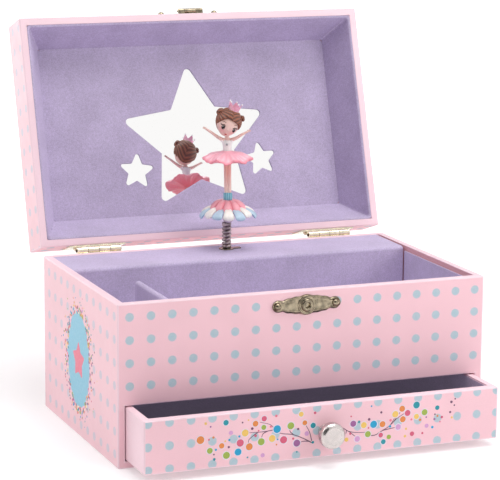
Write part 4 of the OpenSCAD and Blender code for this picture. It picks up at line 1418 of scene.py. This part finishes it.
def ankle_band():
    """Fluted blue band in which the legs stand, paler on the flutes and darker between them:
    painted highlight and shade.
    """
    rings, colours = [], []
    for z, radius in ((28.0, 2.0), (28.3, 2.3), (30.3, 2.42), (32.2, 2.3), (32.5, 2.05),
                      (32.55, 1.4)):
        ring = []
        for angle in [TURN * i / 96 for i in range(96)]:
            flute = math.sin(12 * angle)
            ring.append(around(angle, radius * (1 + 0.045 * flute), z))
            # The paint follows the flutes: painted highlight on the ridges, painted shade in the
            # grooves.
            colours.append(mixed((96, 172, 198), (160, 216, 230), 0.5 + 0.5 * flute))
        rings.append(ring)
    dress(loft("ankle_band", rings, colours=colours), "skirt_paint")


def frill(name, profile, waves, colour_at, sides=288):
    """A turned frill: profile gives (radius, height, share of the wave) along the section."""
    rings, colours = [], []
    for index, (radius, height, share) in enumerate(profile):
        ring = []
        for angle in [TURN * i / sides for i in range(sides)]:
            front = angle + math.pi / 2
            out, up = waves(front)
            ring.append(around(angle, radius + out * share, height + up * share))
            colours.append(colour_at(index / (len(profile) - 1), front, share))
        rings.append(ring)
    return loft(name, rings, colours=colours)


def tutu():
    """Stiff tutu with a wavy edge: pale pink on top with painted highlights along the pleats, coral
    underneath, lighter towards the rim.
    """
    top = [(2.2, 55.6, 0.0), (3.2, 55.3, 0.02), (4.6, 54.9, 0.08), (6.4, 54.4, 0.2),
           (8.4, 53.8, 0.4), (10.4, 53.1, 0.64), (12.2, 52.2, 0.86), (13.3, 51.5, 0.98),
           (13.7, 51.05, 1.0)]
    under = [(13.6, 50.7, 1.0), (12.6, 50.4, 0.95), (10.4, 50.4, 0.66), (8.0, 50.0, 0.4),
             (5.6, 49.4, 0.2), (3.4, 48.9, 0.06), (1.9, 48.6, 0.0)]

    def waves(front):
        up = -0.85 * math.cos(7 * front + 0.6 * math.sin(2 * front))
        up += 0.22 * math.sin(27 * front) - 0.35 * bell(math.sin(front / 2), 0.12)
        return 0.45 * math.cos(7 * front + 2.2), up

    split = len(top) / (len(top) + len(under))

    def colour(share, front, wave):
        if share > split:
            return mixed((250, 124, 130), (255, 160, 164), wave)
        # Paler stripes along the pleats' ridges: painted highlight.
        pleat_highlight = 0.5 + 0.5 * math.sin(27 * front)
        pink = mixed((250, 172, 188), (255, 222, 230), 0.65 * pleat_highlight * wave)
        return mixed(pink, (238, 126, 144), 0.7 * ease(wave, 0.9, 1.0))

    dress(frill("tutu", top + under, waves, colour), "tutu_paint", "dancer_tutu", angle=70)


def ruffle():
    """Upper layer of the lower skirt: a coral ruffle with round lobes, paler on the lobes and
    darker between them and lower down: painted highlight and shade.
    """
    profile = [(1.6, 28.6, 0.0), (2.6, 28.5, 0.15), (4.0, 28.3, 0.45), (5.8, 27.5, 0.75),
               (7.6, 26.1, 0.95), (9.2, 24.3, 1.0), (10.2, 22.6, 1.0), (9.8, 22.1, 1.0),
               (7.8, 22.5, 0.8), (5.5, 23.1, 0.4), (2.0, 23.4, 0.0)]

    def lobe(front):
        return math.sqrt(abs(math.cos(5 * front)))

    def waves(front):
        return 1.3 * lobe(front) - 0.8, 1.0 * lobe(front) - 0.2

    def colour(share, front, wave):
        # Paler on the bulging lobes, darker between them and lower down: painted highlight and
        # shade.
        return mixed((236, 120, 138), (255, 188, 198),
                     0.25 + 0.7 * lobe(front) * (1 - 0.4 * share))

    dress(frill("skirt_ruffle", profile, waves, colour), "skirt_paint", angle=70)


PETALS = 14
PETAL_BLUE, PETAL_CREAM = (150, 188, 216), (248, 240, 230)


def petal(k):
    """One padded petal, blue or cream in turn: it arches outwards and down to a round tip."""
    out = around(-math.pi / 2 + TURN * (k + 0.1) / PETALS)
    side = UP.cross(out)
    blue = k % 2 == 1
    start, high = 5.6, 23.8 if blue else 24.4
    tip = (15.2 if blue else 14.7) + 0.35 * math.sin(2.4 * k)
    fall = 4.7 + 0.45 * math.cos(1.7 * k)
    base, edge = (PETAL_BLUE, (120, 164, 204)) if blue else (PETAL_CREAM, (236, 170, 178))
    rings, colours = [], []
    for t in [step / 18 for step in range(19)]:
        centre = out * (start + (tip - start) * math.sin(t * math.pi / 2)) \
            + UP * (high - fall * (1 - math.cos(t * math.pi / 2)))
        end = math.sqrt(max(1 - (max(t - 0.72, 0) / 0.281) ** 2, 0.0))
        width = max((1.2 + 2.3 * t ** 0.8) * end, 0.05)
        thick = max((1.2 - 0.25 * t) * end, 0.03)
        slope = (UP * 0.75 + out * 0.66 * t).normalized()
        ring = []
        for a in [TURN * i / 26 for i in range(26)]:
            upper = math.sin(a) > 0
            crease = 1 - 0.22 * bell(math.cos(a), 0.22) * upper
            ring.append(centre + side * (width * math.cos(a))
                        + slope * (thick * math.sin(a) * crease))
            # The top half is paler, a painted highlight; towards the tip the underside takes the
            # edge colour.
            lit_top_tone = mixed(base, (255, 255, 255), 0.35 * upper)
            colours.append(mixed(lit_top_tone, edge, 0.75 * (math.sin(a) < -0.15) * ease(t, 0.3, 0.9)))
        rings.append(ring)
    return loft("petal", rings, colours=colours)


def skirt():
    """Lower skirt: the ruffle over a ring of petals on a hub."""
    ruffle()
    parts = [petal(k) for k in range(PETALS)]
    hub = [(1.4, 15.9), (2.3, 16.4), (3.4, 18.2), (5.4, 20.4), (7.4, 22.2), (7.2, 24.4), (2, 26)]
    parts.append(plain_loft("hub", level_rings([(z, radius, radius) for radius, z in hub], 48),
                            (226, 214, 226)))
    dress(join_painted("skirt_petals", parts), "skirt_paint", "dancer_skirt", angle=70)


def spring():
    """Coil spring that carries the dancer."""
    wire, pitch = 0.92, 2.02
    radius = SPRING_HIGH.x - STAND.x - wire + 0.15
    low, high = SPRING_LOW.z + wire, SPRING_HIGH.z - wire
    turns = (high - low) / pitch
    flat_turn = 0.75
    count = int(turns * 40)
    foot = Vector((STAND.x, STAND.y, low))
    path = []
    for k in range(count + 1):
        t = k / count * (turns + 2 * flat_turn)
        climb = min(max(t - flat_turn, 0.0), turns)
        ends = wire * 0.55 * (min(t / flat_turn, 1) - 1)
        path.append(foot + around(TURN * t, radius, climb * pitch + ends))
    coil = smooth(loft("spring_coil", tube_rings(path, [wire] * len(path), 12)), 60)
    finish(coil, None, "dark_spring", "dancer_spring", materials=[SPRING_METAL])
    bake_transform(coil)


# ---------------------------------------------------------------- carried-over CAD nodes

def polish(node, material, edge=0.12):
    """A better material and small rounded edges on a CAD node, its mesh left as it is."""
    obj = frame["nodes"][node]
    if obj.material_slots:
        for holder in obj.material_slots:
            holder.material = material
    else:
        obj.data.materials.append(material)
    weld = obj.modifiers.new("weld", "WELD")
    weld.merge_threshold = 0.002 * MM
    if edge:
        bevel = obj.modifiers.new("edge", "BEVEL")
        bevel.width = edge * MM
        bevel.segments = 2
        bevel.limit_method = "ANGLE"
        bevel.angle_limit = math.radians(40)
    normals = obj.modifiers.new("normals", "WEIGHTED_NORMAL")
    normals.keep_sharp = False


def hardware():
    """Each material, the width of its rounded edges and the CAD nodes that carry it."""
    finishes = [
        (GILT, 0.1, "hinge_body_leaves hinge_lid_leaves"),
        # The pins' dark gilt is painted shade between the knuckles.
        (GILT_PIN_SHADE, 0.1, "hinge_pins"),
        (GILT, 0.0, "hinge_body_nails hinge_lid_nails"),
        (NICKEL, 0.12, "platform_eyelet hasp_plate hasp_tongue hasp_pin"),
        (NICKEL, 0.0, "latch_nails hasp_nails"),
        (BRASS, 0.05, "drum spring_barrel governor_frame governor_wheel"),
        (STEEL, 0.05, "comb comb_screws drum_arbor mainspring winding_arbor governor_fan"
                      " movement_screws knob_screw"),
        (GILT_STEEL, 0.2, "movement_bedplate"),
        (BRIGHT, 0.25, "winding_key"),
        (BOARD, 0.2, "shelf_board"),
        (mirror_film(), 0.0, "mirror_pane")]
    for material, edge, nodes in finishes:
        for node in nodes.split():
            polish(node, material, edge)


# ---------------------------------------------------------------- view

def camera():
    """Camera at the photograph's place, fitted to the box's corners and rims."""
    data = bpy.data.cameras.new("camera")
    data.lens = 164.82
    data.sensor_width = 36
    data.clip_end = 20
    obj = bpy.data.objects.new("camera", data)
    right = Vector((0.93012, -0.36717, 0.00729)).normalized()
    back = right.cross(Vector((0.06450, 0.18288, 0.98102))).normalized()
    up = back.cross(right).normalized()
    obj.matrix_world = Matrix((right, up, back)).transposed().to_4x4()
    obj.matrix_world.translation = Vector((-0.44079, -1.09738, 0.33084))
    bpy.context.scene.collection.objects.link(obj)
    bpy.context.scene.camera = obj


def area_light(name, place, target, size, power, mirrored=True):
    data = bpy.data.lights.new(name, "AREA")
    data.shape = "DISK"
    data.size = size
    data.energy = power
    obj = bpy.data.objects.new(name, data)
    obj.visible_glossy = mirrored
    obj.location = place
    obj.rotation_euler = (Vector(place) - Vector(target)).to_track_quat("Z", "Y").to_euler()
    bpy.context.scene.collection.objects.link(obj)


def world():
    """White studio: even light, white to the eye, with a soft dark card for metal to reflect."""
    graph = Graph("studio", bpy.data.worlds)
    way = graph.node("TexCoord", {}, output="Generated")
    card_way = Vector((-0.55, -0.66, 0.5)).normalized()
    nearness = graph.node("VectorMath", {0: way, 1: card_way}, output="Value",
                          operation="DOT_PRODUCT")
    strength = graph.range(nearness, 0.79, 0.9, 1.0, 0.1)
    for ray, own_strength in (("Is Diffuse Ray", 0.36), ("Is Camera Ray", 1.0)):
        is_ray = graph.node("LightPath", {}, output=ray)
        strength = graph.node("Mix", {0: is_ray, 2: strength, 3: own_strength})
    bpy.context.scene.world = graph.finished("Background", Strength=strength,
                                             Color=(1, 1, 1, 1))


def floor():
    graph = Graph("studio_floor")
    where = graph.node("TexCoord", {}, output="Object")
    away = graph.node("VectorMath", {0: where}, output="Value", operation="LENGTH")
    material = graph.finished(
        Base_Color=graph.mix(graph.noise(300, 2), rgb(229, 229, 229), rgb(226, 226, 227)),
        Emission_Strength=graph.range(away, 0.2, 1.2, 0.3, 0.85), Roughness=0.9,
        Specular_IOR_Level=0.1, Emission_Color=(1, 1, 1, 1))
    size, z = 4000, -0.02
    sheet = make("floor", [(-size, -size, z), (size, -size, z), (size, size, z),
                           (-size, size, z)], [(0, 1, 2, 3)])
    sheet.data.materials.append(material)


def lights():
    area_light("top", (0.2, -0.3, 2.0), (0, 0, 0.05), 1.6, 24)
    area_light("front_right", (0.42, -0.4, 0.3), (0.06, -0.05, 0.06), 0.3, 1.1, mirrored=False)
    area_light("front_low", (0.9, -2.0, 0.4), (0, 0, 0.05), 0.8, 0.4, mirrored=False)
    area_light("left", (-1.1, 0.2, 1.1), (-0.1, 0, 0.05), 0.9, 3.5)
    area_light("left_behind", (-0.7, 1.55, 0.3), (-0.1, 0, 0.06), 0.7, 9)


# ---------------------------------------------------------------- the whole box

for build in (camera, world, lights, floor, box_body, wall_lining, floor_lining, divider,
              platform, lid_shell, lid_liner, star_panel, drawer, knob, latch, drawer_print):
    build()
medallion("print_medallion_left", -1)
medallion("print_medallion_right", 1)
for build in (head, hair, crown, bodice, neck_and_arms, legs, ankle_band, tutu, skirt, spring,
              hardware):
    build()

bpy.context.scene.view_settings.view_transform = "Standard"
